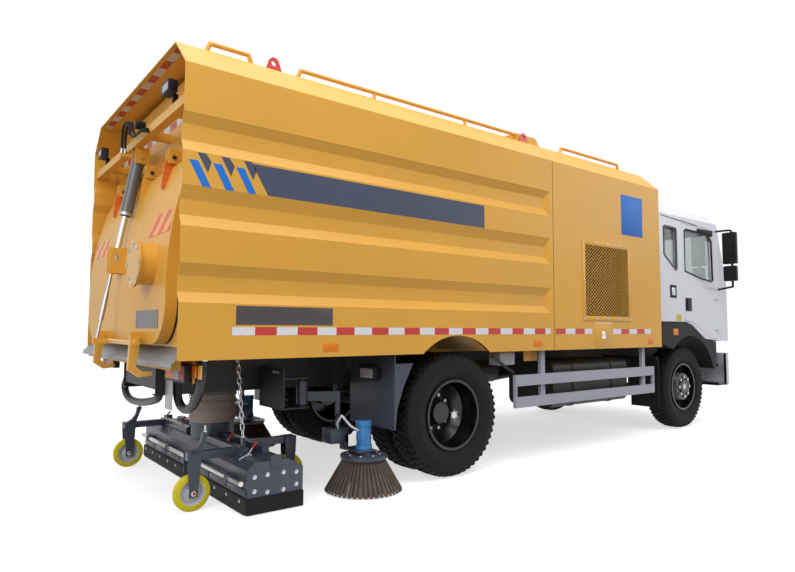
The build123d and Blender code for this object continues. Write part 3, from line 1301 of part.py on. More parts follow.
def brush_bristles(s):
    """Ring of flared wire tufts under the disc, joined at their roots."""
    top = BRISTLE_TOP_Z - CLEAR
    root = turned_z([(BRISTLE_ROOT_R - 50, top), (BRISTLE_ROOT_R, top), (BRISTLE_ROOT_R + 14, top - 30),
                     (BRISTLE_ROOT_R - 40, top - 30)], 0, REAR_EDGE_Y)
    lean = BRISTLE_TIP_R - BRISTLE_ROOT_R
    side = outline_y([(BRISTLE_ROOT_R - 32, top - 10), (BRISTLE_ROOT_R - 4, top - 10),
                      (BRISTLE_TIP_R, BRISTLE_TIP_Z),
                      (BRISTLE_ROOT_R - 26 + lean * 0.72, BRISTLE_TIP_Z)], REAR_EDGE_Y - 40,
                      REAR_EDGE_Y + 40)
    fan = outline_x([(REAR_EDGE_Y - 11, top), (REAR_EDGE_Y + 11, top),
                     (REAR_EDGE_Y + 23, BRISTLE_TIP_Z - 1),
                     (REAR_EDGE_Y - 23, BRISTLE_TIP_Z - 1)], 0, 400)
    tuft = side & fan
    ring = fuse([root] + [tuft.rotate(Axis.Z, 360 / TUFTS * i) for i in range(TUFTS)])
    return ring.moved(Location((s * BRUSH_X, y_at(BRUSH_D), 0)))


# ---------------------------------------------------------------- cab
WINDSCREEN_LEAN = 170.0
BELT_Z = 1860.0
GLASS_TOP_Z = 2410.0
CAB_CORNER = 90.0


def cab_section(inset):
    """Side outline of the cab as (d, z) points, inset all round for its inner face."""
    rear, front = CAB_REAR_D + inset, CAB_FRONT_D - inset
    return [
        (rear, CAB_SILL_Z - 0 + inset), (rear, CAB_ROOF_Z - 60 - inset), (rear + 60, CAB_ROOF_Z - inset),
        (front - 380, CAB_ROOF_Z - inset), (front - WINDSCREEN_LEAN - 60, CAB_ROOF_Z - 120 - inset),
        (front, BELT_Z - 60), (front, CAB_NOSE_Z + inset), (DOOR_FRONT_D - 330, CAB_NOSE_Z + 40 + inset),
        (DOOR_REAR_D + 200, CAB_SILL_Z - 40 + inset), (DOOR_REAR_D + 50, CAB_SILL_Z + inset)]


def door_window():
    """Side window outline of a cab door as (d, z)."""
    r, f = DOOR_REAR_D + 50, DOOR_FRONT_D - 75
    return [(r, 1905), (r, 2400), (r + 50, 2425), (f - 125, 2415), (f - 15, 2330), (f, 1835),
            (f - 45, 1812),
            (f - 315, 1835)]


def quarter_window():
    r, f = CAB_REAR_D + 95, DOOR_REAR_D - 145
    return [(r, 2075), (r, 2400), (r + 25, 2415), (f - 20, 2410), (f, 2390), (f, 1925), (f - 25, 1906)]


def door_panel_outline(gap):
    """Cab door outline as (d, z)."""
    r, f = DOOR_REAR_D + gap, DOOR_FRONT_D - gap
    return [(r, CAB_SILL_Z + 20 + gap), (r, 2490 - gap), (f - 184, 2490 - gap), (f - 45, 2380), (f, 1840),
            (f, 1075 + gap), (f - 90, 1075 + gap), (f - 284, 1120 + gap), (r + 274, 1260 + gap)]


def cab_shell():
    """Pressed-steel cab: floor, back, roof, pillars and nose, with its door and window openings cut."""
    outer = outline_x(cab_section(0), -CAB_HALF, CAB_HALF)
    inner = outline_x(cab_section(CAB_WALL), -CAB_HALF + CAB_WALL, CAB_HALF - CAB_WALL)
    inner = inner & block((-2000, 2000), (5000, 8000), (CAB_FLOOR_Z + CAB_WALL, 3000))
    underside = block((-CAB_HALF + CAB_WALL, CAB_HALF - CAB_WALL), (CAB_REAR_D - 5, CAB_FRONT_D - CAB_WALL),
                      (CAB_NOSE_Z - 50, CAB_FLOOR_Z))
    shell = outer - inner - underside
    # roof edges lean in a little
    for s in (-1, 1):
        edge = outline_y([(s * CAB_HALF - s * 70, CAB_ROOF_Z + 5), (s * (CAB_HALF + 5), CAB_ROOF_Z + 5),
                          (s * (CAB_HALF + 5), CAB_ROOF_Z - 95), (s * CAB_HALF, CAB_ROOF_Z - 95)],
                         CAB_REAR_D - 10, CAB_FRONT_D + 10)
        shell = shell - edge
    aperture = outline_x(door_panel_outline(0), -CAB_HALF - 10, CAB_HALF + 10)
    keep_inside = block((-CAB_HALF + CAB_WALL + 0.01, CAB_HALF - CAB_WALL - 0.01),
                        (CAB_REAR_D - 500, CAB_FRONT_D + 200), (900, 2800))
    shell = shell - (aperture - keep_inside)
    quarter = outline_x(quarter_window(), -CAB_HALF - 10, CAB_HALF + 10)
    shell = shell - (quarter - keep_inside)
    screen = block((-1040, 1040), (CAB_FRONT_D - 420, CAB_FRONT_D + 10), (BELT_Z, GLASS_TOP_Z + 30))
    shell = shell - screen
    for s in (-1, 1):
        for z in CAB_HINGE_Z:
            x, d = s * CAB_HINGE_X, CAB_HINGE_D
            top = z + CAB_HINGE_LEN
            shell = shell - rod((x, d, z - 2), (x, d, top + 2), CAB_KNUCKLE_R + 2)
            leaf = block((s * (CAB_HALF - 2), s * (CAB_HALF + 5)), (d + CAB_KNUCKLE_R + 2, d + 60),
                         (z, top))
            pin = rod((x, d, z), (x, d, top), CAB_HINGE_PIN_R)
            cheeks = [block((s * (CAB_HALF - 2), s * (CAB_HINGE_X + CAB_KNUCKLE_R)),
                            (d - CAB_HINGE_PIN_R, d + 40),
                            (foot, foot + 10)) for foot in (z, top - 10)]
            shell = fuse([shell, leaf, pin] + cheeks)
        arm = outline_x([(CAB_PIVOT_D - 30, CAB_PIVOT_Z - 30), (CAB_PIVOT_D + 30, CAB_PIVOT_Z - 30),
                         (CAB_PIVOT_D + 30, CAB_PIVOT_Z + 30), (CAB_PIVOT_D - 70, CAB_FLOOR_Z + 2),
                         (CAB_PIVOT_D - 160, CAB_FLOOR_Z + 2), (CAB_PIVOT_D - 30, CAB_PIVOT_Z + 30)],
                        s * (CAB_ARM_X - 15), s * (CAB_ARM_X + 15))
        bore = rod((s * 400, CAB_PIVOT_D, CAB_PIVOT_Z), (s * 600, CAB_PIVOT_D, CAB_PIVOT_Z),
                   CAB_PIVOT_R + PIN_FIT)
        shell = shell + (arm - bore)
    return shell


def cab_door(s):
    """Cab door as thick as the cab side with its window cut."""
    outer = CAB_HALF
    inner = CAB_HALF - CAB_WALL
    panel = outline_x(door_panel_outline(DOOR_GAP), s * inner, s * outer)
    panel = panel - outline_x(door_window(), s * (inner - 5), s * (outer + 5))
    x, d = s * CAB_HINGE_X, CAB_HINGE_D
    for z in CAB_HINGE_Z:
        low, high = z + 11, z + CAB_HINGE_LEN - 11
        panel = panel - rod((x, d, z - 2), (x, d, z + CAB_HINGE_LEN + 2), CAB_KNUCKLE_R + 2)
        knuckle = rod((x, d, low), (x, d, high), CAB_KNUCKLE_R)
        strap = block((s * (CAB_HALF - 2), s * (CAB_HALF + 6)), (d - 90, d), (low, high))
        bore = rod((x, d, z), (x, d, z + CAB_HINGE_LEN), CAB_HINGE_PIN_R + PIN_FIT)
        panel = fuse([panel, knuckle, strap]) - bore
    return panel


def inset_outline(points, gap):
    """Shrink a convex-ish outline towards its middle by about gap on every side."""
    mid_d = (min(p[0] for p in points) + max(p[0] for p in points)) / 2
    mid_z = (min(p[1] for p in points) + max(p[1] for p in points)) / 2
    half_d = (max(p[0] for p in points) - min(p[0] for p in points)) / 2
    half_z = (max(p[1] for p in points) - min(p[1] for p in points)) / 2
    return [(mid_d + (d - mid_d) * (1 - gap / half_d), mid_z + (z - mid_z) * (1 - gap / half_z)) for d,
            z in points]


def side_glass(points, s):
    return outline_x(inset_outline(points, CLEAR), s * (CAB_HALF - 30), s * (CAB_HALF - 24))


def windscreen():
    """Flat laminated screen leaning with the nose."""
    low = (CAB_FRONT_D - 30, BELT_Z + CLEAR)
    lean = (WINDSCREEN_LEAN + 60) / (CAB_ROOF_Z - 120 - BELT_Z + 60)
    high_z = GLASS_TOP_Z + 30 - CLEAR
    high = (low[0] - lean * (high_z - low[1]), high_z)
    return outline_x([low, high, (high[0] + 8, high[1]), (low[0] + 8, low[1])], -1040 + CLEAR, 1040 - CLEAR)


def cab_fenders():
    """Black wheel-arch mouldings under the cab side, one each side."""
    parts = []
    r, f = CAB_REAR_D + 25, DOOR_FRONT_D - 30
    for s in (-1, 1):
        x0, x1 = s * 760, s * (CAB_HALF - 4)
        outer = outline_x([(r, 1030), (r, CAB_SILL_Z - CLEAR), (DOOR_REAR_D + 45, CAB_SILL_Z - CLEAR),
                           (DOOR_REAR_D + 195, CAB_SILL_Z - 42), (f - 305, CAB_NOSE_Z + 38),
                           (f, CAB_NOSE_Z + 2 - CLEAR), (f, 740), (f - 60, 700)], x0, x1)
        well = rod((s * 700, FRONT_AXLE_D, TYRE_R + 20), (s * 1200, FRONT_AXLE_D, TYRE_R + 20), 600.0)
        arch = outer - well
        parts.append(arch)
    return parts


def bumper():
    """Front bumper with returns and the entry steps behind its ends."""
    z = (480.0, 890.0)
    front, depth = CAB_FRONT_D + 60, 160.0
    beam = outline_z([(-1180, front - depth), (-1180, front - 90), (-1090, front - 8), (-900, front),
                      (900, front),
                      (1090, front - 8), (1180, front - 90), (1180, front - depth)], *z)
    hollow = block((-1150, 1150), (front - depth - 5, front - 70), (z[0] + 30, z[1] + 5))
    beam = beam - hollow
    mounts = [block((s * (RAIL_OUTER_X - 60), s * (RAIL_OUTER_X - 12)),
                    (RAIL_FRONT_D + CLEAR, front - 65), (740, 860))
              for s in (-1, 1)]
    steps = [block((s * 930, s * 1165), (DOOR_FRONT_D + 10, front - depth + 2), (z0, z0 + 30))
             for s in (-1, 1) for z0 in (480, 720)]
    return fuse([beam] + mounts + steps)


def headlamps():
    front = CAB_FRONT_D + 60
    return [block((s * 640, s * 890), (front + CLEAR, front + 12), (620, 780)) for s in (-1, 1)]


SLAT_Z = (1120.0, 1600.0)
SLATS = 6


def cab_grille():
    """Black grille of level slats in a frame on the cab's nose."""
    front = CAB_FRONT_D
    low, high = SLAT_Z
    frame = block((-720, 720), (front + CLEAR, front + 8), (low - 30, high + 30))
    frame = frame - block((-690, 690), (front - 10, front + 20), (low, high))
    pitch = (high - low) / SLATS
    bars = [block((-695, 695), (front + CLEAR + 1, front + 7),
                  (low + i * pitch + 18, low + (i + 1) * pitch - 18))
            for i in range(SLATS)]
    spine = [block((x - 12, x + 12), (front + CLEAR, front + 4), (low - 5, high + 5))
             for x in (-345, 0, 345)]
    return fuse([frame] + bars + spine)


def mirrors(s):
    """Main and wide-angle mirror heads on a bent tube in front of the door."""
    x_out = 1350.0
    d = DOOR_FRONT_D + 75
    heads = (d - 65, d - 20)
    arm = pipe_run([(s * (CAB_HALF + CLEAR), d - 40, 2470), (s * x_out, d, 2460), (s * x_out, d, 1745),
                    (s * (CAB_HALF + CLEAR), d - 10, 1715)], 13.0)
    arm = arm & block((s * (CAB_HALF + CLEAR), s * 2000), (d - 300, d + 300), (1500, 2700))
    main = block((s * 1262, s * 1430), heads, (2035, 2440))
    main = main.fillet(18, main.edges().filter_by(Axis.Y))
    wide = block((s * 1268, s * 1425), heads, (1815, 2010))
    wide = wide.fillet(18, wide.edges().filter_by(Axis.Y))
    links = [block((s * 1335, s * 1365), (d - 25, d + 10), z) for z in ((2200, 2240), (1890, 1930))]
    return fuse([arm, main, wide] + links)


def seats():
    """Two seats on their pedestals."""
    parts = []
    for s in (-1, 1):
        x0, x1 = s * 330, s * 860
        floor = CAB_FLOOR_Z + CAB_WALL + CLEAR
        cushion = block((x0, x1), (5850, 6330), (floor + 250, floor + 360))
        back = outline_x([(5800, floor + 300), (5920, floor + 300), (5850, floor + 900),
                          (5740, floor + 900)], x0, x1)
        base = block((s * 420, s * 770), (5900, 6250), (floor, floor + 250))
        parts.append(fuse([cushion, back, base]))
    return parts


def dashboard():
    """Dashboard across the cab with the steering column and wheel on the left."""
    floor = CAB_FLOOR_Z + CAB_WALL
    width = CAB_HALF - CAB_WALL - 20
    dash = outline_x([(6880, 1480), (6830, 1560), (6850, 1760), (6950, 1830),
                      (CAB_FRONT_D - CAB_WALL - 20, 1790),
                      (CAB_FRONT_D - CAB_WALL - 20, 1480)], -width, width)
    column = rod((600, 6900, 1600), (600, 6630, 1815), 28.0)
    leg = block((-200, 200), (6960, CAB_FRONT_D - CAB_WALL - 20), (floor + CLEAR, 1490))
    wheel = Solid.make_torus(215, 16, Plane((600, y_at(6630), 1815), z_dir=(0, 0.55, 0.83)))
    spoke = Solid.make_cylinder(12, 430, Plane((600 - 215, y_at(6630), 1815), z_dir=(1, 0, 0)))
    return fuse([dash, column, leg, wheel, spoke])


def mud_flaps():
    """Rubber flaps behind the front wheels on hangers from the rails."""
    parts = []
    for s in (-1, 1):
        flap = block((s * 780, s * 1130), (5500, 5510), (300, 880))
        hanger = block((s * (RAIL_OUTER_X + CLEAR), s * 1120), (5470, 5500), (840, 880))
        parts.append(flap + hanger)
    return parts


def auxiliary_engine():
    """The sweeper's own engine and fan as one plain mass seen through the mesh."""
    return block((-450, 450), (3900, 4900), (FLOOR_Z + FLOOR_T + CLEAR, 1850))


# ---------------------------------------------------------------- build and write
def build():
    save("frame_rails", frame_rails(), *[brush_bracket(s) for _, s in SIDES])
    save("leaf_springs", *leaf_springs())
    save("rear_axle", rear_axle())
    save("front_axle", front_axle())
    save("engines_and_shaft", engine_block(), prop_shaft(), auxiliary_engine())
    save("tanks", fuel_tank(), *air_tanks(), valve_box())
    save("side_guards", *side_guards())
    save("rear_mudguards", *rear_mudguards())
    save("mud_flaps", *mud_flaps())
    save("bumper", bumper())
    save("lamps", *headlamps(), *tail_lamps(), *work_lamps(), *wheel_lamps())
    save("hoses", *hoses())
    for side, s in SIDES:
        save(f"knuckle_{side}", knuckle(s))
        save(f"tyre_front_{side}", tyre(FRONT_TYRE_OUTER_X, s, FRONT_AXLE_D))
        save(f"rim_front_{side}", front_rim(s))
        save(f"tyres_rear_{side}", tyre(REAR_TYRE_OUTER_X, s, REAR_AXLE_D),
             tyre(REAR_TYRE_OUTER_X - TWIN_SPACING, s, REAR_AXLE_D))
        save(f"rims_rear_{side}", rear_rims(s))

    for side, s in SIDES:
        save(f"side_panel_{side}", side_panel(s) - arch_cutter())
    save("roof_panel", roof_panel(), roof_box())
    save("engine_housing", housing())
    save("grilles", grille(1), grille(-1))
    save("body_floor", floor_and_bearers() + duct_collar(), bulkhead())
    save("roof_rails", *roof_rails())
    save("lifting_lugs", *lifting_lugs())

    save("end_wall", end_wall())
    save("wall_fittings", door_hinges(), hood_beam(), keeper())
    save("door_seal", door_seal())
    save("apron", apron())
    save("rear_door", rear_door())
    save("door_fittings", *door_arms(), clean_out(), *clevis(), latch())
    save("cylinder_barrel", cylinder_barrel())
    save("cylinder_rod", cylinder_rod())

    save("nozzle_box", nozzle_box() + nozzle_frame())
    save("nozzle_skirts", *nozzle_skirts())
    for name, x, d in CASTERS:
        save(f"castor_{name}", caster_wheel(x, d))
    save("suction_duct", suction_duct())
    save("lift_chains", *[lift_chain(*row) for row in CHAINS])
    for side, s in SIDES:
        save(f"brush_arm_{side}", brush_arm(s))
        save(f"brush_head_{side}", *brush_head(s))
        save(f"brush_disc_{side}", brush_disc(s), brush_bristles(s))

    save("cab_shell", cab_shell())
    save("cab_glass", windscreen(), *[side_glass(quarter_window(), s) for _, s in SIDES])
    save("cab_trim", *cab_fenders(), mirrors(1), mirrors(-1), cab_grille())
    save("cab_interior", *seats(), dashboard())
    for side, s in SIDES:
        save(f"cab_door_{side}", cab_door(s))
        save(f"door_glass_{side}", side_glass(door_window(), s))


build()
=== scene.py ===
import math

import bpy
from mathutils import Matrix, Vector


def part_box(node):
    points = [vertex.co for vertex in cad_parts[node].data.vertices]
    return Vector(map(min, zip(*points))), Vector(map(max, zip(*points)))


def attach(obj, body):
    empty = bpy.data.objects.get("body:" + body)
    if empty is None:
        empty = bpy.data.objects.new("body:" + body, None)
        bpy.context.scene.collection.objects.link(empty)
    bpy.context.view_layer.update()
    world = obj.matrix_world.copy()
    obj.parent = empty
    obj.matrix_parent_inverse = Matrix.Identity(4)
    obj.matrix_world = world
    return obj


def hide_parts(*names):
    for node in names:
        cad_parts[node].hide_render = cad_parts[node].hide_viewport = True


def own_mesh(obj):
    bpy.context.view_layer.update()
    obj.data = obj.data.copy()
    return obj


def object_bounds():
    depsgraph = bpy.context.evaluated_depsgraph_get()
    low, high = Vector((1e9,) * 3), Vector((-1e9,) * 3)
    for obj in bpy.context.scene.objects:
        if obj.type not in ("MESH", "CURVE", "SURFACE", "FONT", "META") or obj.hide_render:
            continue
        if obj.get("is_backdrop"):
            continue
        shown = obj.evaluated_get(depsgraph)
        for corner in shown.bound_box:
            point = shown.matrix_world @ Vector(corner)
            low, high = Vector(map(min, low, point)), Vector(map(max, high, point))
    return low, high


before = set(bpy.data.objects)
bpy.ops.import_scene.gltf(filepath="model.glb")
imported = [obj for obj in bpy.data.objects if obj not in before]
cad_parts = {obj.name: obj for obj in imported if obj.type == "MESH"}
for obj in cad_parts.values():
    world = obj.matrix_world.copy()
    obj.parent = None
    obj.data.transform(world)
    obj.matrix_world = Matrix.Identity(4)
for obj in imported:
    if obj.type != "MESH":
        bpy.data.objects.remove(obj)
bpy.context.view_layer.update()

# ---- camera
# A level tripod about five metres off the right rear corner, at chest height,
# with a moderate wide lens turned towards the rear axle.
heading, climb, bank = math.radians(127.804), math.radians(4.001), math.radians(0.252)
ahead = Vector((math.sin(heading) * math.cos(climb), math.cos(heading) * math.cos(climb), math.sin(climb)))
level = Vector((math.cos(heading), -math.sin(heading), 0))
upwards = level.cross(ahead)
across = level * math.cos(bank) + upwards * math.sin(bank)
over = upwards * math.cos(bank) - level * math.sin(bank)
tripod = Matrix.Translation((-4.7929, 4.6686, 1.197))
camera_data = bpy.data.cameras.new("viewpoint")
camera_data.sensor_width = 36
camera_data.lens = 27.27
camera_data.clip_end = 200
camera = bpy.data.objects.new("viewpoint", camera_data)
camera.matrix_world = tripod @ Matrix((across, over, -ahead)).transposed().to_4x4()
bpy.context.scene.collection.objects.link(camera)
bpy.context.scene.camera = camera
bpy.context.scene.view_settings.view_transform = "Standard"


# ---- studio floor, world and lamps
# Pale seamless floor under a white surround. A wide soft box hangs over the
# truck, with weaker ones at the right rear and in front, as an overcast yard would light it.
def tone(code):
    """sRGB hex to the linear colour a shader takes."""
    parts = [int(code[i:i + 2], 16) / 255 for i in (1, 3, 5)]
    return tuple(c / 12.92 if c <= 0.04045 else ((c + 0.055) / 1.055) ** 2.4 for c in parts) + (1.0,)


def add(tree, kind, inputs=(), **settings):
    """Add a node with its options; its inputs, by name or in order, are numbers, or sockets or nodes to join."""
    made = tree.nodes.new("ShaderNode" + kind)
    for option, value in settings.items():
        setattr(made, option, value)
    for socket, value in inputs.items() if isinstance(inputs, dict) else enumerate(inputs):
        if isinstance(value, bpy.types.Node):
            value = next(output for output in value.outputs if output.enabled)
        if isinstance(value, bpy.types.NodeSocket):
            tree.links.new(value, made.inputs[socket])
        else:
            made.inputs[socket].default_value = value
    return made


def blank(name):
    """A new material and its empty node tree."""
    made = bpy.data.materials.new(name)
    made.use_nodes = True
    made.node_tree.nodes.clear()
    return made, made.node_tree


def seen_directly(tree):
    """1 for rays from the eye, a mirror or through glass, and 0 for rays that only light things."""
    rays = add(tree, "LightPath").outputs
    first = add(tree, "Math", [rays["Is Camera Ray"], rays["Is Glossy Ray"]], operation="MAXIMUM")
    return add(tree, "Math", [first, rays["Is Transmission Ray"]], operation="MAXIMUM")


surround = bpy.data.worlds.new("surround")
surround.use_nodes = True
bpy.context.scene.world = surround
sky = surround.node_tree
sky.nodes.clear()
height = add(sky, "SeparateXYZ", [add(sky, "TexCoord").outputs["Generated"]]).outputs["Z"]
glow = add(sky, "MapRange", [height, -0.15, 0.9, 0.06, 0.78])
level_seen = add(sky, "Mix", {0: seen_directly(sky), 2: glow, 3: 1.0}, data_type="FLOAT")
add(sky, "OutputWorld", [add(sky, "Background", {"Color": (1, 1, 1, 1), "Strength": level_seen})])

bpy.ops.object.select_all(action="DESELECT")
bpy.ops.mesh.primitive_plane_add(size=120, location=(0, 0, 0))
floor = bpy.context.object
floor.name = "studio_floor"
screed, tree = blank("matt white screed")
shine = add(tree, "Emission", {"Color": (1, 1, 1, 1), "Strength": 0.62})
pale = add(tree, "AddShader", [add(tree, "BsdfDiffuse", {"Color": (0.72, 0.72, 0.73, 1)}), shine])
lit = add(tree, "BsdfDiffuse", {"Color": (0.26, 0.26, 0.26, 1)})
add(tree, "OutputMaterial", [add(tree, "MixShader", [seen_directly(tree), lit, pale])])
floor.data.materials.append(screed)
floor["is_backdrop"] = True

for lamp_name, place, aim, size, power in (
        ("overhead_softbox", (-2.5, 1.5, 9.0), (0, 0, 1.0), 9.0, 640),
        ("right_rear_softbox", (-6.0, 11.0, 5.5), (0, 1.0, 1.6), 6.0, 420),
        ("front_softbox", (-7.0, -9.0, 5.0), (0, -2.5, 1.4), 4.0, 120)):
    lamp_data = bpy.data.lights.new(lamp_name, "AREA")
    lamp_data.size = size
    lamp_data.energy = power
    lamp = bpy.data.objects.new(lamp_name, lamp_data)
    lamp.location = place
    lamp.rotation_euler = (Vector(aim) - Vector(place)).to_track_quat("-Z", "Y").to_euler()
    bpy.context.scene.collection.objects.link(lamp)


# ---- sweeper body
# Folded and pressed 3 mm sheet steel, seam welded, then sprayed with two-pack
# enamel: a deep even colour, a slight orange peel and a clear gloss over it.
def started(name):
    """A new material, its tree, and the place on the piece that its patterns follow."""
    made, tree = blank(name)
    return made, tree, add(tree, "TexCoord").outputs["Object"]


def finished(made, inputs):
    """Close a material's tree with a Principled shader that takes these inputs."""
    add(made.node_tree, "OutputMaterial", [add(made.node_tree, "BsdfPrincipled", inputs)])
    return made


def blotched(tree, colour, place, scale, spread, shades, detail=4.0, rough=0.5):
    """Colour in soft blotches: where the noise lies within spread, it is shaded between the shades."""
    noise = add(tree, "TexNoise", {"Vector": place, "Scale": scale, "Detail": detail, "Roughness": rough})
    shade = add(tree, "MapRange", [noise, spread[0], spread[1], shades[0], shades[1]])
    return add(tree, "Mix", {0: 1.0, 6: colour, 7: shade}, data_type="RGBA", blend_type="MULTIPLY")


def sprayed(name, colour, gloss=0.28, coat=0.35, peel_mm=5.0, peel_depth=0.00012, drift=0.05, dust=0.1, metal=0.0):
    """Sprayed paint: uneven film, orange peel bumps peel_mm across, and road dust that thins out upwards."""
    made, tree, place = started(name)
    paint = blotched(tree, tone(colour), place, 0.9, (0.3, 0.7), (1 - drift, 1 + drift), rough=0.55)
    up = add(tree, "SeparateXYZ", [place]).outputs["Z"]
    low = add(tree, "MapRange", [up, 1.7, 0.2])
    spots = add(tree, "TexNoise", {"Vector": place, "Scale": 14.0, "Detail": 6.0, "Roughness": 0.7})
    patchy = add(tree, "MapRange", [spots, 0.35, 0.75])
    veil = add(tree, "Math", [low, patchy], operation="MULTIPLY")
    share = add(tree, "Math", [veil, dust], operation="MULTIPLY")
    dusty = add(tree, "Mix", {0: share, 6: paint, 7: tone("#9A9184")}, data_type="RGBA")
    rough = add(tree, "MapRange", {0: share, 2: 0.5, 3: gloss, 4: min(gloss + 0.35, 0.9)})
    peel = add(tree, "TexNoise", {"Vector": place, "Scale": 1000 / peel_mm, "Detail": 2.0})
    bump = add(tree, "Bump", {"Strength": 0.5, "Distance": peel_depth, "Height": peel})
    return finished(made, {"Base Color": dusty, "Roughness": rough, "Normal": bump, "Metallic": metal,
                           "Coat Weight": coat, "Coat Roughness": 0.08, "Specular IOR Level": 0.35})


def dress(material, *nodes):
    """Put a finish on CAD nodes, whose meshes stay as they are."""
    for name in nodes:
        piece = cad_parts[name]
        if not piece.material_slots:
            piece.data.materials.append(material)
        for slot in piece.material_slots:
            slot.material = material


golden_enamel = sprayed("golden yellow 2K enamel", "#E4AA41", gloss=0.42, coat=0.06)
dress(golden_enamel, "side_panel_right", "side_panel_left", "roof_panel", "engine_housing", "end_wall",
      "wall_fittings", "rear_door", "roof_rails", "body_floor")

# ---- roof lifting lugs
# Flame-cut plate lugs welded to the edges of the roof, in an even signal red so
# that a crane driver finds them.
dress(sprayed("signal red 2K enamel", "#D2473F", gloss=0.35), "lifting_lugs")

# ---- chassis and running gear
# Pressed rails, springs and cross members in satin black chassis paint, pressed rims
# in glossier wheel enamel, and cast axles whose primer looks rough and dry.
chassis_black = sprayed("satin black chassis paint", "#0A0A0B", gloss=0.5, coat=0.0, drift=0.12)
dress(chassis_black, "frame_rails", "leaf_springs", "tanks", "engines_and_shaft")
wheel_black = sprayed("gloss black wheel enamel", "#050506", gloss=0.25, coat=0.2, dust=0.05, drift=0.1)
dress(wheel_black, "rim_front_right", "rim_front_left", "rims_rear_right", "rims_rear_left")
cast_iron = sprayed("primed cast iron", "#131315", gloss=0.6, coat=0.0, peel_mm=3.0, peel_depth=0.0005, dust=0.2)
dress(cast_iron, "rear_axle", "front_axle", "knuckle_right", "knuckle_left")

# ---- slate grey sweeping gear
# Brush arms, castor forks and mudguards of welded plate in slate grey two-pack: a
# dark bluish coat with a low sheen.
slate_enamel = sprayed("slate grey 2K enamel", "#3B4150", gloss=0.4, coat=0.1)
dress(slate_enamel, "brush_arm_right", "brush_arm_left", "rear_mudguards", "castor_rear_right",
      "castor_rear_left", "castor_front_right", "castor_front_left")

# ---- side guards, apron and cylinder barrel
# Rolled steel guard rails in silver-grey powder coat with a dry sheen, a hot dip
# galvanised apron with a faint mottle, and a steel barrel in grey machine paint.
dress(sprayed("silver grey powder coat", "#A8AAB8", gloss=0.42, coat=0.0, dust=0.12), "side_guards")
dress(sprayed("hot dip galvanised sheet", "#8E9196", gloss=0.45, coat=0.0, metal=0.6, drift=0.12), "apron")
dress(sprayed("grey cylinder paint", "#66686E", gloss=0.35), "cylinder_barrel")


# ---- polished rod
# Hard chromed piston rod, ground round: near mirror with very faint rings. Zinc
# plate, on bolts and pins, is duller and its grain coarser.
def bare_metal(name, colour, gloss, ring_mm=1.0):
    """Clean metal with turned rings ring_mm apart that break up the reflection a little."""
    made, tree, place = started(name)
    rings = add(tree, "TexNoise", {"Vector": place, "Scale": 1000 / ring_mm, "Detail": 3.0})
    rough = add(tree, "MapRange", {0: rings, 3: gloss * 0.7, 4: gloss * 1.3})
    shaded = tuple(c * 0.85 for c in tone(colour)[:3]) + (1,)
    tint = add(tree, "Mix", {0: rings, 6: tone(colour), 7: shaded}, data_type="RGBA")
    return finished(made, {"Base Color": tint, "Roughness": rough, "Metallic": 1.0})


hard_chrome = bare_metal("hard chromed steel", "#D8DADD", 0.12)
zinc_plate = bare_metal("zinc plated steel", "#B9BCC0", 0.32, ring_mm=2.0)
dress(hard_chrome, "cylinder_rod")


# ---- rubber
# Moulded black tyre rubber and extruded seals, flaps and skirts: dry, faintly
# mottled and greyed a little by dust.
def moulded(name, colour, gloss, grain_mm, depth, dust=0.05):
    """Moulded rubber or plastic with a fine grain of grain_mm."""
    made, tree, place = started(name)
    grain = add(tree, "TexNoise", {"Vector": place, "Scale": 1000 / grain_mm, "Detail": 3.0})
    mottle = add(tree, "TexNoise", {"Vector": place, "Scale": 7.0, "Detail": 5.0, "Roughness": 0.65})
    veil = add(tree, "MapRange", {0: mottle, 1: 0.4, 2: 0.8, 4: dust})
    colours = add(tree, "Mix", {0: veil, 6: tone(colour), 7: tone("#8B857B")}, data_type="RGBA")
    rough = add(tree, "MapRange", [mottle, 0.3, 0.8, gloss, min(gloss + 0.2, 1.0)])
    bump = add(tree, "Bump", {"Strength": 0.6, "Distance": depth, "Height": grain})
    return finished(made, {"Base Color": colours, "Roughness": rough, "Normal": bump, "Specular IOR Level": 0.2})


tyre_rubber = moulded("moulded tyre rubber", "#0E0E10", 0.66, 2.0, 0.0002)
seal_rubber = moulded("extruded EPDM rubber", "#0B0B0C", 0.55, 2.0, 0.0001)
dress(tyre_rubber, "tyre_front_right", "tyre_front_left", "tyres_rear_right", "tyres_rear_left")
dress(seal_rubber, "mud_flaps", "door_seal", "nozzle_skirts")

# ---- cab
# White pressed-steel cab with a hard clear gloss, over a skirt of grained black
# plastic that scatters the light.
cab_enamel = sprayed("cab white 2K enamel", "#E6E8F2", gloss=0.22, coat=0.4, drift=0.02, dust=0.08)
dress(cab_enamel, "cab_shell", "cab_door_right", "cab_door_left")
grained_abs = moulded("grained black ABS", "#101216", 0.5, 1.5, 0.0002, dust=0.03)
dress(grained_abs, "cab_trim")

# ---- cab glass
# Toughened float glass, 6 mm thick, bonded and clamped in rubber: clear with a
# grey-green tint, and a very slight ripple in what it reflects.
tinted_glass, tree, place = started("tinted float glass")
ripple = add(tree, "TexNoise", {"Vector": place, "Scale": 3.0})
rough = add(tree, "MapRange", {0: ripple, 3: 0.01, 4: 0.04})
finished(tinted_glass, {"Base Color": tone("#D4DBDA"), "Roughness": rough, "IOR": 1.5,
                        "Transmission Weight": 0.95})
dress(tinted_glass, "cab_glass", "door_glass_right", "door_glass_left")

# ---- stripes on the body's sides
# Cast vinyl film cut on a plotter and laid on the flat lands between the pressed
# grooves: one long grey stripe and two sets of slanted bars at its rear end.
sides = ((-1, "right"), (1, "left"))
body_rear_y, skin = 3.5285, 1.25


def at(d):
    """y of a station d metres forward of the body's rear edge."""
    return body_rear_y - d


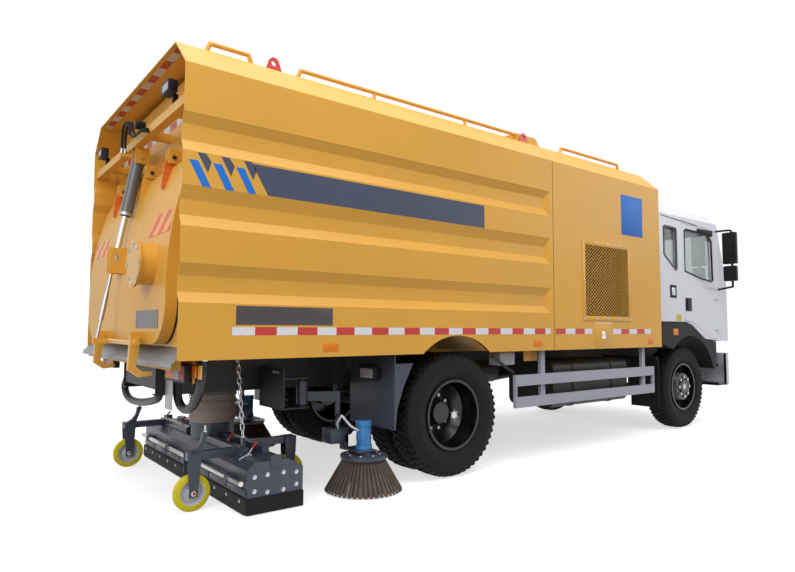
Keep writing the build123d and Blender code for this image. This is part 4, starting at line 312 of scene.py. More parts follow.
def outwards():
    """Turn every face of the mesh in edit mode outwards, and leave edit mode."""
    bpy.ops.mesh.select_all(action="SELECT")
    bpy.ops.mesh.normals_make_consistent(inside=False)
    bpy.ops.object.mode_set(mode="OBJECT")


def film(corners, side, x=skin, thick=0.0005):
    """Thin sheet on the body's side (1 left, -1 right), cut to a convex outline of (station, z) corners."""
    spare = 0.002
    places = [Vector((side * x, at(d), z)) for d, z in corners]
    reach = [(min(p[i] for p in places), max(p[i] for p in places)) for i in range(3)]
    middle = Vector([(a + b) / 2 for a, b in reach])
    bpy.ops.object.select_all(action="DESELECT")
    bpy.ops.mesh.primitive_plane_add(size=1, location=middle, rotation=(0, math.radians(90 * side), 0))
    piece = bpy.context.object
    piece.scale = [reach[i][1] - reach[i][0] + spare for i in (2, 1)] + [1]
    bpy.ops.object.transform_apply()
    bpy.ops.object.mode_set(mode="EDIT")
    for a, b in zip(places, places[1:] + places[:1]):
        away = Vector((0, (b - a).z, -(b - a).y))
        if away.dot(middle - a) > 0:
            away.negate()
        bpy.ops.mesh.select_all(action="SELECT")
        bpy.ops.mesh.bisect(plane_co=a, plane_no=away, clear_outer=True)
    bpy.ops.mesh.select_all(action="SELECT")
    bpy.ops.mesh.extrude_region_move(TRANSFORM_OT_translate={"value": (side * thick, 0, 0)})
    outwards()
    return piece


def only(*pieces):
    """Select these pieces and no others, the first of them active."""
    bpy.ops.object.select_all(action="DESELECT")
    for piece in pieces:
        piece.select_set(True)
    bpy.context.view_layer.objects.active = pieces[0]


def joined(name, parts, material, body="chassis"):
    """Several meshes as one named piece with one finish, riding on a body."""
    only(*parts)
    if len(parts) > 1:
        bpy.ops.object.join()
    piece = bpy.context.object
    piece.name = name
    piece.data.name = name
    piece.data.materials.clear()
    piece.data.materials.append(material)
    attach(piece, body)
    return piece


def strip(d, z, side, x=skin):
    """Upright rectangle of film between two stations and two heights."""
    return film([(d[0], z[1]), (d[1], z[1]), (d[1], z[0]), (d[0], z[0])], side, x=x)


grey_vinyl = sprayed("grey cast vinyl film", "#464D62", gloss=0.45, coat=0.0, peel_mm=8.0, dust=0.08)
blue_vinyl = sprayed("blue cast vinyl film", "#1F78D8", gloss=0.32, coat=0.0, peel_mm=8.0, dust=0.05)
bar_pitch, bar_width = 0.147, 0.055
for side, hand in sides:
    greys = [film([(0.436, 2.236), (2.538, 2.236), (2.538, 2.045), (0.549, 2.045)], side)]
    blues = []
    for shift in (0.0, bar_pitch, 2 * bar_pitch):
        notch = ((0.086, 2.245), (0.138, 2.245), (0.172, 2.2), (0.152, 2.13))
        greys.append(film([(d + shift, z) for d, z in notch], side))
        top, bottom = 0.036 + shift, 0.119 + shift
        blues.append(film([(top, 2.195), (top + bar_width, 2.195), (bottom + bar_width, 2.043), (bottom, 2.043)],
                          side, thick=0.0007))
    joined("grey_stripes_" + hand, greys, grey_vinyl)
    joined("blue_bars_" + hand, blues, blue_vinyl)


# ---- conspicuity tape
# Prismatic retro-reflective tape, 50 mm wide, printed in 150 mm red and white
# blocks and pressed on along the skirt. Its tiny cells are partly the tape's own
# pattern and partly a painted glint: lighter at each cell's rim, darker in its middle.
def banded(tree, along, pitch, pale, deep):
    """Two colours by turns, a pair of bands to each pitch metres of the measure along."""
    turns = add(tree, "Math", [along, pitch], operation="DIVIDE")
    part = add(tree, "Math", [add(tree, "Math", [turns], operation="FRACT"), 0.5], operation="GREATER_THAN")
    return add(tree, "Mix", {0: part, 6: tone(pale), 7: tone(deep)}, data_type="RGBA")


def reflective(name, start):
    """Tape whose blocks change every 150 mm along the truck from the station start."""
    made, tree, place = started(name)
    y = add(tree, "SeparateXYZ", [place]).outputs["Y"]
    along = add(tree, "Math", [at(start), y], operation="SUBTRACT")
    colour = banded(tree, along, 0.3, "#E4E4EA", "#C9352F")
    # cells are really 1.5 mm across, drawn at 5 mm so that they show
    cells = add(tree, "TexVoronoi", {"Vector": place, "Scale": 1000 / 5}).outputs["Distance"]
    # painted glint: each cell's colour runs from darker in its middle to lighter than the tape at its rim
    painted_cell_glint = add(tree, "MapRange", {0: cells, 2: 0.6, 3: 0.75, 4: 1.1})
    tint = add(tree, "Mix", {0: 1.0, 6: colour, 7: painted_cell_glint}, data_type="RGBA", blend_type="MULTIPLY")
    bump = add(tree, "Bump", {"Strength": 0.3, "Distance": 0.0003, "Height": cells})
    return finished(made, {"Base Color": tint, "Roughness": 0.3, "Normal": bump})


skirt_tape = reflective("prismatic tape on the hopper", 0.328)
hatch_tape = reflective("prismatic tape on the housing", 4.414)
for side, hand in sides:
    joined("skirt_tape_" + hand, [strip(d, (1.148, 1.2), side) for d in ((0.328, 3.4), (3.48, 4.05))], skirt_tape)
    joined("hatch_tape_" + hand, [strip((4.414, 5.141), (1.146, 1.198), side),
                                  strip((4.1, 4.376), (1.189, 1.238), side, 1.2506)], hatch_tape)


# ---- plates and side markers
# Blank anodised and enamelled plates, and amber side-marker lamps pushed through
# rubber grommets along the skirt.
def rounded(piece, by, segments=2):
    """Roll a piece's edges over and shade it smooth but for its corners."""
    if by:
        rounding = piece.modifiers.new("rounded", "BEVEL")
        rounding.width, rounding.segments = by, segments
        bpy.ops.object.modifier_apply(modifier="rounded")
    bpy.ops.object.shade_smooth_by_angle(angle=math.radians(35))
    return piece


def block(x, d, z, round_by=0.0, segments=2):
    """Solid box between two x, two stations and two heights, its edges rounded."""
    corners = [(min(x), max(x)), (at(max(d)), at(min(d))), (min(z), max(z))]
    bpy.ops.object.select_all(action="DESELECT")
    bpy.ops.mesh.primitive_cube_add(size=1, location=[(a + b) / 2 for a, b in corners])
    piece = bpy.context.object
    piece.scale = [b - a for a, b in corners]
    bpy.ops.object.transform_apply()
    return rounded(piece, round_by, segments) if round_by else piece


number_plate = sprayed("dark blank enamelled plate", "#423B3D", gloss=0.3, coat=0.2)
blue_plate = sprayed("blue enamelled plate", "#2C70CC", gloss=0.5, coat=0.0, dust=0.0)
amber_lens = moulded("amber acrylic lens", "#F0841E", 0.18, 6.0, 0.0004)
for side, hand in sides:
    x = (side * skin, side * 1.2512)
    joined("blank_plate_" + hand, [block(x, (0.351, 1.048), (1.213, 1.331), 0.0004)], number_plate)
    joined("blue_plate_" + hand, [block(x, (4.607, 5.02), (2.197, 2.63), 0.0005)], blue_plate)
    markers = [block(x, (d, d + 0.125), (1.035, 1.092), 0.0005) for d in (0.972, 3.161, 5.08)]
    joined("side_markers_" + hand, markers, amber_lens)


# ---- grille frame bolts and filler hatch
# Zinc plated hexagon bolts hold the mesh frame; a small hatch with a chromed
# paddle latch and a strap hinge closes the filler under it.
def bar(start, end, radius, sides=20, round_by=0.0):
    """Round bar between two points (x, station, z), its rims rounded."""
    a, b = [Vector((x, at(d), z)) for x, d, z in (start, end)]
    bpy.ops.object.select_all(action="DESELECT")
    bpy.ops.mesh.primitive_cylinder_add(vertices=sides, radius=radius, depth=(b - a).length, location=(a + b) / 2,
                                        rotation=(b - a).to_track_quat("Z", "Y").to_euler())
    bpy.ops.object.transform_apply()
    return rounded(bpy.context.object, round_by)


def copies(pattern, moves):
    """The pattern put through each move in turn, every copy with its own mesh."""
    made = [pattern]
    for move in moves[1:]:
        other = pattern.copy()
        other.data = pattern.data.copy()
        bpy.context.scene.collection.objects.link(other)
        other.data.transform(move)
        made.append(other)
    pattern.data.transform(moves[0])
    return made


def bolts(places, way, size, height=0.006):
    """Hexagon heads on their washers at (x, station, z) places, standing out along way (x, y, z)."""
    out = Vector((way[0], -way[1], way[2])) * height
    washer = bar((0, 0, 0), out / 4, size * 0.72, 16)
    head = bar((0, 0, 0), out, size * 0.55, 6, size * 0.06)
    only(head, washer)
    bpy.ops.object.join()
    return copies(head, [Matrix.Translation((x, -d, z)) for x, d, z in places])


for side, hand in sides:
    face = side * 1.2563
    heads = [(face, 3.925 + 0.2025 * i, z) for i in range(5) for z in (2.062, 1.299)]
    heads += [(face, d, 1.68) for d in (3.925, 4.735)]
    joined("grille_bolts_" + hand, bolts(heads, (side, 0, 0), 0.017, 0.005), zinc_plate)
    hatch = side * 1.252
    plate = block((side * skin, hatch), (4.09, 4.39), (1.012, 1.265), 0.0008)
    joined("filler_hatch_" + hand, [plate], golden_enamel)
    latch = [block((hatch, side * 1.2545), (4.215, 4.275), (1.1, 1.17), 0.001),
             bar((hatch, 4.1, 1.258), (hatch, 4.38, 1.258), 0.0035, 10),
             bar((side * 1.2545, 4.245, 1.15), (side * 1.2575, 4.245, 1.15), 0.012, 16, 0.001)]
    joined("hatch_latch_" + hand, latch, hard_chrome)


# ---- tyres
# Truck tyres of black rubber, moulded in a heated steel mould: ringed sidewalls,
# a rim cord, shoulder lugs and two rows of tread blocks between deep grooves.
def turned(profile, centre, steps=96, around="x"):
    """Closed mesh spun from (along, radius) points about an axis through centre."""
    mesh = bpy.data.meshes.new("turned")
    if around == "x":
        points = [(centre[0] + a, centre[1], centre[2] + r) for a, r in profile]
    else:
        points = [(centre[0] + r, centre[1], centre[2] + a) for a, r in profile]
    mesh.from_pydata(points, [(i, (i + 1) % len(points)) for i in range(len(points))], [])
    piece = bpy.data.objects.new("turned", mesh)
    bpy.context.scene.collection.objects.link(piece)
    only(piece)
    bpy.ops.object.mode_set(mode="EDIT")
    bpy.ops.mesh.select_all(action="SELECT")
    bpy.ops.mesh.spin(steps=steps, angle=math.tau, center=centre, axis=(1, 0, 0) if around == "x" else (0, 0, 1))
    bpy.ops.mesh.select_all(action="SELECT")
    bpy.ops.mesh.remove_doubles(threshold=0.00002)
    outwards()
    bpy.ops.object.shade_smooth_by_angle(angle=math.radians(38))
    return piece


def mirrored(half, width=0.0):
    """A profile and its mirror image, width metres across in all."""
    return half + [(width - a, r) for a, r in reversed(half)]


def about(centre, angle, axis):
    """Turn by angle about an axis (X, Y or Z) through centre."""
    centre = Vector(centre)
    return Matrix.Translation(centre) @ Matrix.Rotation(angle, 4, axis) @ Matrix.Translation(-centre)


def ring_of(pattern, centre, count, axis="X"):
    """Copies of a piece set evenly round an axis through centre."""
    return copies(pattern, [about(centre, math.tau * i / count, axis) for i in range(count)])


axle_z, tyre_width, lug_count, brick_count = 0.5, 0.26, 52, 46
carcass = mirrored([(0.045, 0.486), (0.028, 0.478), (0.014, 0.46), (0.013, 0.446), (0.0075, 0.44), (0.0035, 0.412),
                    (0.004, 0.402), (0.0005, 0.4), (0.0, 0.39), (0.008, 0.33), (0.014, 0.322), (0.02, 0.312),
                    (0.03, 0.3), (0.038, 0.276), (0.044, 0.264)], tyre_width)


def tyre_parts(outer_x, side, station):
    """Carcass and tread blocks of one tyre whose outer face is at outer_x."""
    base = min(side * outer_x, side * (outer_x - tyre_width))
    hub = (base, at(station), axle_z)
    parts = [turned(carcass, hub)]
    for edge, inwards in ((base, 1), (base + tyre_width, -1)):
        lug = block((edge + inwards * 0.012, edge + inwards * 0.072), (station - 0.0135, station + 0.0135),
                    (0.972, 0.9985), 0.003, 1)
        for vertex in lug.data.vertices:
            if abs(vertex.co.x - edge) < 0.02:
                vertex.co.z -= 0.02
        parts += ring_of(lug, hub, lug_count)
    for row, phase in ((base + 0.104, 0.0), (base + 0.156, 0.5)):
        brick = block((row - 0.021, row + 0.021), (station - 0.017, station + 0.017), (0.98, 0.9995), 0.003, 1)
        brick.data.transform(about(hub, math.tau * phase / brick_count, "X"))
        parts += ring_of(brick, hub, brick_count)
    return parts


tyre_places = (("tyre_front_", ((1.08, 6.197),)), ("tyres_rear_", ((1.2, 2.247), (0.89, 2.247))))
wheel_sets = [(node + hand, tyres, side) for node, tyres in tyre_places for side, hand in sides]
for node, tyres, side in wheel_sets:
    parts = []
    for outer_x, station in tyres:
        parts += tyre_parts(outer_x, side, station)
    piece = joined(node.replace("tyre", "treaded_tyre"), parts, tyre_rubber, node.replace("tyre", "wheel"))
    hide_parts(node)

# ---- hub caps and wheel nuts
# Domed bright hub cap with small bolts round it, and zinc plated hexagon nuts on
# the wheel's studs, eight on each front hub and ten on each rear.
for node, tyres, side in wheel_sets:
    station, body = tyres[0][1], node.replace("tyre", "wheel")
    face = max(abs(corner[0]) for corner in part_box(node.replace("tyre", "rim")))
    centre = (0, at(station), axle_z)
    cap = bar((side * (face - 0.012), station, axle_z), (side * (face + 0.002), station, axle_z), 0.03, 24, 0.004)
    screw = bar((side * (face - 0.01), station, 0.54), (side * (face + 0.0015), station, 0.54), 0.005, 6, 0.0008)
    joined("hub_cap_" + body, [cap] + ring_of(screw, centre, 6), zinc_plate, body)
    foot, ring, count = (1.0535, 0.118, 8) if "front" in node else (0.9265, 0.145, 10)
    nut = bar((side * foot, station + ring, axle_z), (side * (foot + 0.0255), station + ring, axle_z),
              0.0185, 6, 0.002)
    joined("wheel_nuts_" + body, ring_of(nut, centre, count), zinc_plate, body)

# ---- castor wheels
# Cast polyurethane tyres in bright yellow on pressed grey centres, with a red
# dust cap over each greased axle.
polyurethane = moulded("yellow cast polyurethane", "#EAD92C", 0.42, 3.0, 0.0003, dust=0.08)
castor_grey = sprayed("light grey castor centre", "#C6C9D0", gloss=0.35, coat=0.1, dust=0.15)
red_cap = moulded("red polythene cap", "#C23A34", 0.4, 2.0, 0.0001, dust=0.1)
castor_z = 0.12
castors = (("rear_right", -0.795, 0.265), ("rear_left", 0.795, 0.265),
           ("front_right", -0.6, 1.065), ("front_left", 0.6, 1.065))
tread = mirrored([(-0.0245, 0.082), (-0.0245, 0.108), (-0.021, 0.1165), (-0.014, 0.1195)])
disc = mirrored([(-0.029, 0.0105), (-0.029, 0.028), (-0.026, 0.032), (-0.012, 0.036), (-0.01, 0.062),
                 (-0.02, 0.07), (-0.023, 0.083)])
for place, x, station in castors:
    centre, body = (x, at(station), castor_z), "castor_" + place
    piece = joined("castor_tyre_" + place, [turned(tread, centre, 64)], polyurethane, body)
    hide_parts("castor_" + place)
    joined("castor_centre_" + place, [turned(disc, centre, 48)], castor_grey, body)
    caps = [turned([(e * 0.026, 0.0104), (e * 0.0292, 0.0104), (e * 0.0292, 0.02), (e * 0.026, 0.022)], centre, 32)
            for e in (-1, 1)]
    joined("castor_caps_" + place, caps, red_cap, body)


# ---- side brushes
# Tufts of flat steel wire stapled into a plastic ring: each tuft is a flared
# bundle, and the wires splay outwards to the kerb.
def upright(x, d, low, high, radius, sides=20, round_by=0.0):
    """Round bar standing between two heights."""
    return bar((x, d, low), (x, d, high), radius, sides, round_by)


wire_tuft = moulded("spring steel brush wire", "#51463F", 0.55, 1.2, 0.0006, dust=0.25)
brush_x, brush_d, wire_end = 1.04, 1.46, 0.0085
dish = [(0.2405, 0.001), (0.2405, 0.15), (0.236, 0.152), (0.236, 0.172), (0.246, 0.1745), (0.2615, 0.1745),
        (0.2625, 0.17), (0.264, 0.095), (0.27, 0.06), (0.2795, 0.058), (0.2798, 0.001)]
for side, hand in sides:
    x, body = side * brush_x, "brush_" + hand
    centre = (x, at(brush_d), 0.0)
    tufts = []
    for ring, count, root, tip, top in ((0, 46, 0.146, 0.288, 0.236), (1, 46, 0.124, 0.25, 0.236),
                                        (2, 30, 0.104, 0.205, 0.234)):
        # each strand stands for a whole tuft of wires, flared towards its tips
        strand = bar((x + root, brush_d, top), (x + tip, brush_d, wire_end), 0.0085, 5)
        for vertex in strand.data.vertices:
            if vertex.co.z < 0.05:
                vertex.co.x = min(vertex.co.x, x + tip)
                vertex.co.y += (vertex.co.y - at(brush_d)) * 0.9
                vertex.co.z = max(vertex.co.z, wire_end)
        strand.data.transform(about(centre, math.tau * ring / 92, "Z"))
        tufts += ring_of(strand, centre, count, "Z")
    piece = joined("brush_wires_" + hand, tufts, wire_tuft, body)
    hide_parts("brush_disc_" + hand)
    joined("brush_plate_" + hand, [turned(dish, centre, 64, "z")], slate_enamel, body)
    studs = ring_of(upright(x + 0.12, brush_d, 0.26, 0.272, 0.011, 6, 0.001), centre, 8, "Z")
    joined("brush_bolts_" + hand, studs, zinc_plate, body)

# ---- lamps
# Moulded black housings with ribbed acrylic lenses: flood lamps over the brushes
# and on the hood beam, tail clusters with amber corners, head lamps and a camera.
clear_lens = moulded("ribbed clear acrylic lens", "#AEB4BC", 0.12, 7.0, 0.0006, dust=0.0)
lamp_red = moulded("red acrylic lens", "#B3201E", 0.18, 6.0, 0.0005, dust=0.0)
lamp_black = moulded("black moulded lamp housing", "#17181A", 0.45, 2.0, 0.0002, dust=0.12)


def lamp_case(x, d, z, facing, rim=0.01, deep=0.006):
    """Housing box whose face towards facing (1 forward, -1 rearward) is inset and pushed in for its lens."""
    case = block(x, d, z, 0.006)
    bpy.ops.object.mode_set(mode="EDIT")
    bpy.ops.mesh.select_all(action="DESELECT")
    bpy.ops.object.mode_set(mode="OBJECT")
    for face in case.data.polygons:
        face.select = face.normal.y * -facing > 0.99 and face.area > 0.001
    bpy.ops.object.mode_set(mode="EDIT")
    bpy.ops.mesh.select_mode(type="FACE")
    bpy.ops.mesh.inset(thickness=rim)
    bpy.ops.mesh.extrude_region_move(TRANSFORM_OT_translate={"value": (0, facing * deep, 0)})
    bpy.ops.object.mode_set(mode="OBJECT")
    return case


def lens(x, d, z, facing, ribs, rim=0.011):
    """Lens plate that fills a housing's recess, its outer face swept by upright ribs."""
    face = min(d) if facing < 0 else max(d)
    (left, right), (low, high) = (min(x) + rim, max(x) - rim), (min(z) + rim, max(z) - rim)
    parts = [block((left, right), (face - facing * 0.0055, face - facing * 0.0015), (low, high), 0.001, 1)]
    for i in range(ribs):
        parts.append(upright(left + (right - left) / (ribs + 1) * (i + 1), face - facing * 0.0022, low + 0.002,
                             high - 0.002, 0.0015, 6))
    return parts


cases, clears, reds, ambers, brackets = [], [], [], [], []
cluster_d, cluster_z, head_d, head_z = (0.1, 0.15), (0.852, 0.968), (7.2505, 7.2615), (0.62, 0.78)
camera_x, camera_z = -0.25, 2.66
for side in (-1, 1):
    # tail cluster: clear and amber parts with the red stop lamp at its outer end
    cases.append(lamp_case((side * 0.69, side * 1.085), cluster_d, cluster_z, -1))
    for group, inner, outer, ribs in ((ambers, 0.69, 0.88, 9), (clears, 0.866, 0.975, 5), (reds, 0.961, 1.085, 6)):
        group += lens((side * inner, side * outer), cluster_d, cluster_z, -1, ribs)
    brackets.append(block((side * 0.72, side * 1.11), (0.15, 0.1545), (0.853, 1.0395), 0.001))
    ambers.append(block((side * 1.092, side * 1.165), (0.14, 0.15), (0.89, 0.964), 0.003))
    cases.append(block((side * 1.09, side * 1.17), (0.15, 0.16), (0.885, 0.968), 0.002))
    brackets.append(block((side * 1.17, side * 1.235), (0.15, 0.1545), (0.885, 0.968), 0.001))
    # flood lamps on the hood beam and over the brush, each with its foot
    for x, half, d, z, foot in (
            (side * 0.93, 0.075, (-0.025, 0.035), (2.68, 2.76), (0.015, (0.026, 0.058), (2.6155, 2.69))),
            (side * 0.95, 0.1, (1.54, 1.6), (0.8, 0.9), (0.02, (1.598, 1.6117), (0.82, 0.88)))):
        cases.append(lamp_case((x - half, x + half), d, z, -1, 0.008))
        clears += lens((x - half, x + half), d, z, -1, 7, 0.009)
        cases.append(block((x - foot[0], x + foot[0]), *foot[1:], 0.002))
    head_x = (side * 0.64, side * 0.89)
    cases.append(lamp_case(head_x, head_d, head_z, 1, 0.012, 0.004))
    clears += lens(head_x, head_d, head_z, 1, 9, 0.013)
cases.append(bar((camera_x, -0.03, camera_z), (camera_x, 0.04, camera_z), 0.0315, 32, 0.004))
clears.append(bar((camera_x, -0.0299, camera_z), (camera_x, -0.027, camera_z), 0.018, 24))
housings = joined("lamp_housings", cases, lamp_black)
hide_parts("lamps")
joined("clear_lenses", clears, clear_lens)
joined("red_lenses", reds, lamp_red)
joined("amber_lenses", ambers, amber_lens)
joined("lamp_brackets", brackets, golden_enamel)
joined("camera_bracket", [block((-0.268, -0.232), (0.027, 0.058), (2.6155, 2.65), 0.003)], golden_enamel)

# ---- warning panels, tail plate and hood tape
# Red and yellow diagonal warning film on the tailgate, white and red tape across
# the end wall and hood, and a blank enamelled plate low on the gate.
warning_film, tree, place = started("red and yellow warning film")
split = add(tree, "SeparateXYZ", [place]).outputs
slant = add(tree, "Math", [split["X"], split["Z"]], operation="ADD")
# a red and a yellow stripe take 140 mm, measured square to them
bands = banded(tree, slant, 1.414 * 140 / 1000, "#F0AC28", "#E2402E")
finished(warning_film, {"Base Color": bands, "Roughness": 0.35})
across_tape, tree, place = started("prismatic tape across the hood")
x = add(tree, "SeparateXYZ", [place]).outputs["X"]
finished(across_tape, {"Base Color": banded(tree, x, 0.3, "#D8D8DE", "#B83A30"), "Roughness": 0.35})
gate_bow, gate_bow_z, gate_d = 2.36, 1.45, -0.03


def on_the_gate(x, z, thick=0.002):
    """Plate laid between two x and two heights on the tailgate's outer face, bowed above gate_bow_z."""
    plate = block(x, (0, thick), z)
    for vertex in plate.data.vertices:
        rise = max(vertex.co.z - gate_bow_z, 0)
        vertex.co.y += thick - (gate_d + gate_bow - math.sqrt(gate_bow ** 2 - rise ** 2))
    return plate


joined("warning_panels", [on_the_gate(x, (1.79, 1.93)) for x in ((-1.06, -0.62), (0.62, 1.06))], warning_film,
       "tailgate")
joined("gate_plate", [on_the_gate((-0.96, -0.465), (1.19, 1.305))], number_plate, "tailgate")
joined("hood_tape", [block((-1.14, 1.14), (0.2058, 0.2068), (2.64, 2.69)),
                     block((-1.0, 1.0), (0.03, 0.08), (2.9762, 2.9774))], across_tape)

# ---- tailgate fittings
# The gate's welded fittings are golden; the outer hinge arms are painted signal
# orange and the latch's pull rod down the middle is bright zinc plated bar.
gate_paint, tree, place = started("golden enamel with orange arms and zinc rod")
split = add(tree, "SeparateXYZ", [place]).outputs
off_middle = add(tree, "Math", [split["X"]], operation="ABSOLUTE")
far_out = add(tree, "Math", [off_middle, 0.5], operation="GREATER_THAN")
high_up = add(tree, "Math", [split["Z"], 2.1], operation="GREATER_THAN")
arm_here = add(tree, "Math", [far_out, high_up], operation="MULTIPLY")
near_middle = add(tree, "Math", [off_middle, 0.02], operation="LESS_THAN")
below = add(tree, "Math", [split["Z"], 1.585], operation="LESS_THAN")
above = add(tree, "Math", [split["Z"], 1.12], operation="GREATER_THAN")
rod_here = add(tree, "Math", [near_middle, below], operation="MULTIPLY")
rod_here = add(tree, "Math", [rod_here, above], operation="MULTIPLY")
paint = add(tree, "Mix", {0: arm_here, 6: tone("#E4AA41"), 7: tone("#E0702F")}, data_type="RGBA")
paint = add(tree, "Mix", {0: rod_here, 6: paint, 7: tone("#B4B6BA")}, data_type="RGBA")
finished(gate_paint, {"Base Color": blotched(tree, paint, place, 1.1, (0.3, 0.7), (0.95, 1.05)),
                      "Metallic": rod_here, "Roughness": 0.32})
dress(gate_paint, "door_fittings")
flange = (-0.755, 0, 1.6)
stud = bolts([(flange[0] + 0.13, -0.1372, flange[2])], (0, 1, 0), 0.02, 0.009)[0]
joined("flange_bolts", ring_of(stud, flange, 8, "Y"), zinc_plate, "tailgate")
pin_ends = []
for x in (-0.15, -0.67, 0.15, 0.67):
    pin_ends += bolts([(x + e * 0.0375, 0.12, 2.34) for e in (-1, 1)], (1, 0, 0), 0.026, 0.01)
joined("hinge_pin_ends", pin_ends, zinc_plate)

# ---- tailgate cylinder details
# A steel oil pipe runs beside the barrel from a machined port block at the head
# to a port above the gland nut.
top_pin, rod_eye = Vector((0, 0.07, 2.48)), Vector((0, -0.075, 1.68))
down = (rod_eye - top_pin).normalized()


def beside_barrel(reach, x=0.0, out=0.0):
    """Point reach metres down the cylinder, x to the left and out towards the rear of its axis."""
    point = top_pin + down * reach
    return (point.x + x, point.y - out, point.z)


pipe_x, port_x, pipe_out = 0.056, 0.02, 0.01
turns = [beside_barrel(port, pipe_x, pipe_out) for port in (0.12, 0.43)]
pipes = [bar(*turns, 0.006, 12)]
pipes += [bar(turn, (port_x,) + turn[1:], 0.01, 12, 0.001) for turn in turns]
pipes.append(bar(beside_barrel(0.435), beside_barrel(0.459), 0.0462, 48, 0.002))
joined("cylinder_pipe", pipes, zinc_plate, "cylinder_barrel")
wiper = bar(beside_barrel(0.4605), beside_barrel(0.466), 0.026, 32, 0.001)
joined("rod_wiper", [wiper], seal_rubber, "cylinder_barrel")

# ---- nozzle finish, bolts and toggles
# Slate enamel over welded plate; the tie bar in its ring clamps is bright steel.
# Zinc bolts hold the wear plates and skirts, and red-tipped toggles latch the flap.
nozzle_paint, tree, place = started("slate enamel with a bright tie bar")
split = add(tree, "SeparateXYZ", [place]).outputs
off_y = add(tree, "Math", [split["Y"], at(0.468)], operation="SUBTRACT")
off_z = add(tree, "Math", [split["Z"], 0.205], operation="SUBTRACT")
off_bar = add(tree, "VectorMath", [add(tree, "CombineXYZ", {1: off_y, 2: off_z})], operation="LENGTH")
on_bar = add(tree, "Math", [off_bar, 0.0172], operation="LESS_THAN")
paint = add(tree, "Mix", {0: on_bar, 6: tone("#3B4150"), 7: tone("#C4C2C0")}, data_type="RGBA")
finished(nozzle_paint, {"Base Color": blotched(tree, paint, place, 9.0, (0.35, 0.7), (0.85, 1.2), 7.0, 0.7),
                        "Metallic": on_bar, "Roughness": 0.36})
dress(nozzle_paint, "nozzle_box")
heads = []
for side in (-1, 1):
    heads += bolts([(side * 1.1305, d, z) for d, rows in ((0.55, (0.15, 0.24)), (0.64, (0.135, 0.245)),
                                                          (0.755, (0.135, 0.245)), (0.85, (0.155, 0.235)))
                    for z in rows], (side, 0, 0), 0.021, 0.009)
heads += bolts([(-1.05 + 0.21 * i, 0.4865, 0.085) for i in range(11)], (0, 1, 0), 0.018, 0.007)
joined("nozzle_bolts", heads, zinc_plate, "nozzle")
strip_pitch = 0.322
strips = [block((-1.12 + strip_pitch * i, -0.812 + strip_pitch * i), (0.4935, 0.4985), (0.122, 0.165), 0.002)
          for i in range(7)]
joined("nozzle_wear_strips", strips, slate_enamel, "nozzle")
latches, grips = [], []
for x in (-0.93, -0.52, 0.52, 0.93):
    elbow = (x, 0.6, 0.352)
    latches += [bar((x, 0.53, 0.318), elbow, 0.006, 10),
                block((x - 0.014, x + 0.014), (0.57, 0.615), (0.3305, 0.35), 0.003),
                bar(elbow, (x, 0.628, 0.392), 0.005, 10)]
    grips.append(bar((x, 0.622, 0.384), (x, 0.655, 0.425), 0.008, 12, 0.002))
joined("toggle_latches", latches, zinc_plate, "nozzle")
joined("toggle_grips", grips, red_cap, "nozzle")
plates = [block((side * 1.131, side * 1.134), (0.66, 0.74), (0.275, 0.365), 0.001) for side in (-1, 1)]
joined("nozzle_corner_plates", plates, slate_enamel, "nozzle")

# ---- brush heads
# Folded slate box sliding on the guide post, with the motor plate and gusset
# welded to it and a blue cast motor bolted through the plate.
motor_blue = sprayed("blue hydraulic motor enamel", "#2A80C4", gloss=0.3, coat=0.2, dust=0.2)
for side, hand in sides:
    post, x, body = side * 0.88, side * brush_x, "brush_head_" + hand
    slider = (post - 0.07, post + 0.06) if side > 0 else (post - 0.06, post + 0.07)
    parts = [block(slider, (1.2355, 1.3895), (0.3405, 0.4495), 0.003),
             upright(post, 1.33, 0.449, 0.4498, 0.03, 32),
             block((post, side * 1.11), (1.37, 1.53), (0.2855, 0.2968), 0.002),
             block((post - side * 0.02, post + side * 0.06), (1.36, 1.3895), (0.2855, 0.3995), 0.002)]
    head = joined("brush_head_plates_" + hand, parts, slate_enamel, body)
    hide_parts("brush_head_" + hand)
    motor = [upright(x, brush_d, *drum) for drum in (
        (0.297, 0.33, 0.0615, 32, 0.003), (0.33, 0.47, 0.055, 32, 0.002), (0.468, 0.5095, 0.0615, 32, 0.004),
        (0.281, 0.297, 0.02, 24))]
    motor.append(block((x - 0.012, x + 0.012), (brush_d - 0.062, brush_d - 0.04), (0.36, 0.44), 0.003))
    joined("brush_motor_" + hand, motor, motor_blue, body)
    joined("motor_bolts_" + hand, ring_of(upright(x + 0.046, brush_d, 0.5095, 0.5098, 0.008, 6),
                                          (x, at(brush_d), 0), 4, "Z"), zinc_plate, body)
    joined("bracket_bolts_" + hand, bolts([(side * v, 0.9, 0.87) for v in (0.66, 0.7, 0.74)], (0, 1, 0), 0.016,
                                          0.007), zinc_plate)
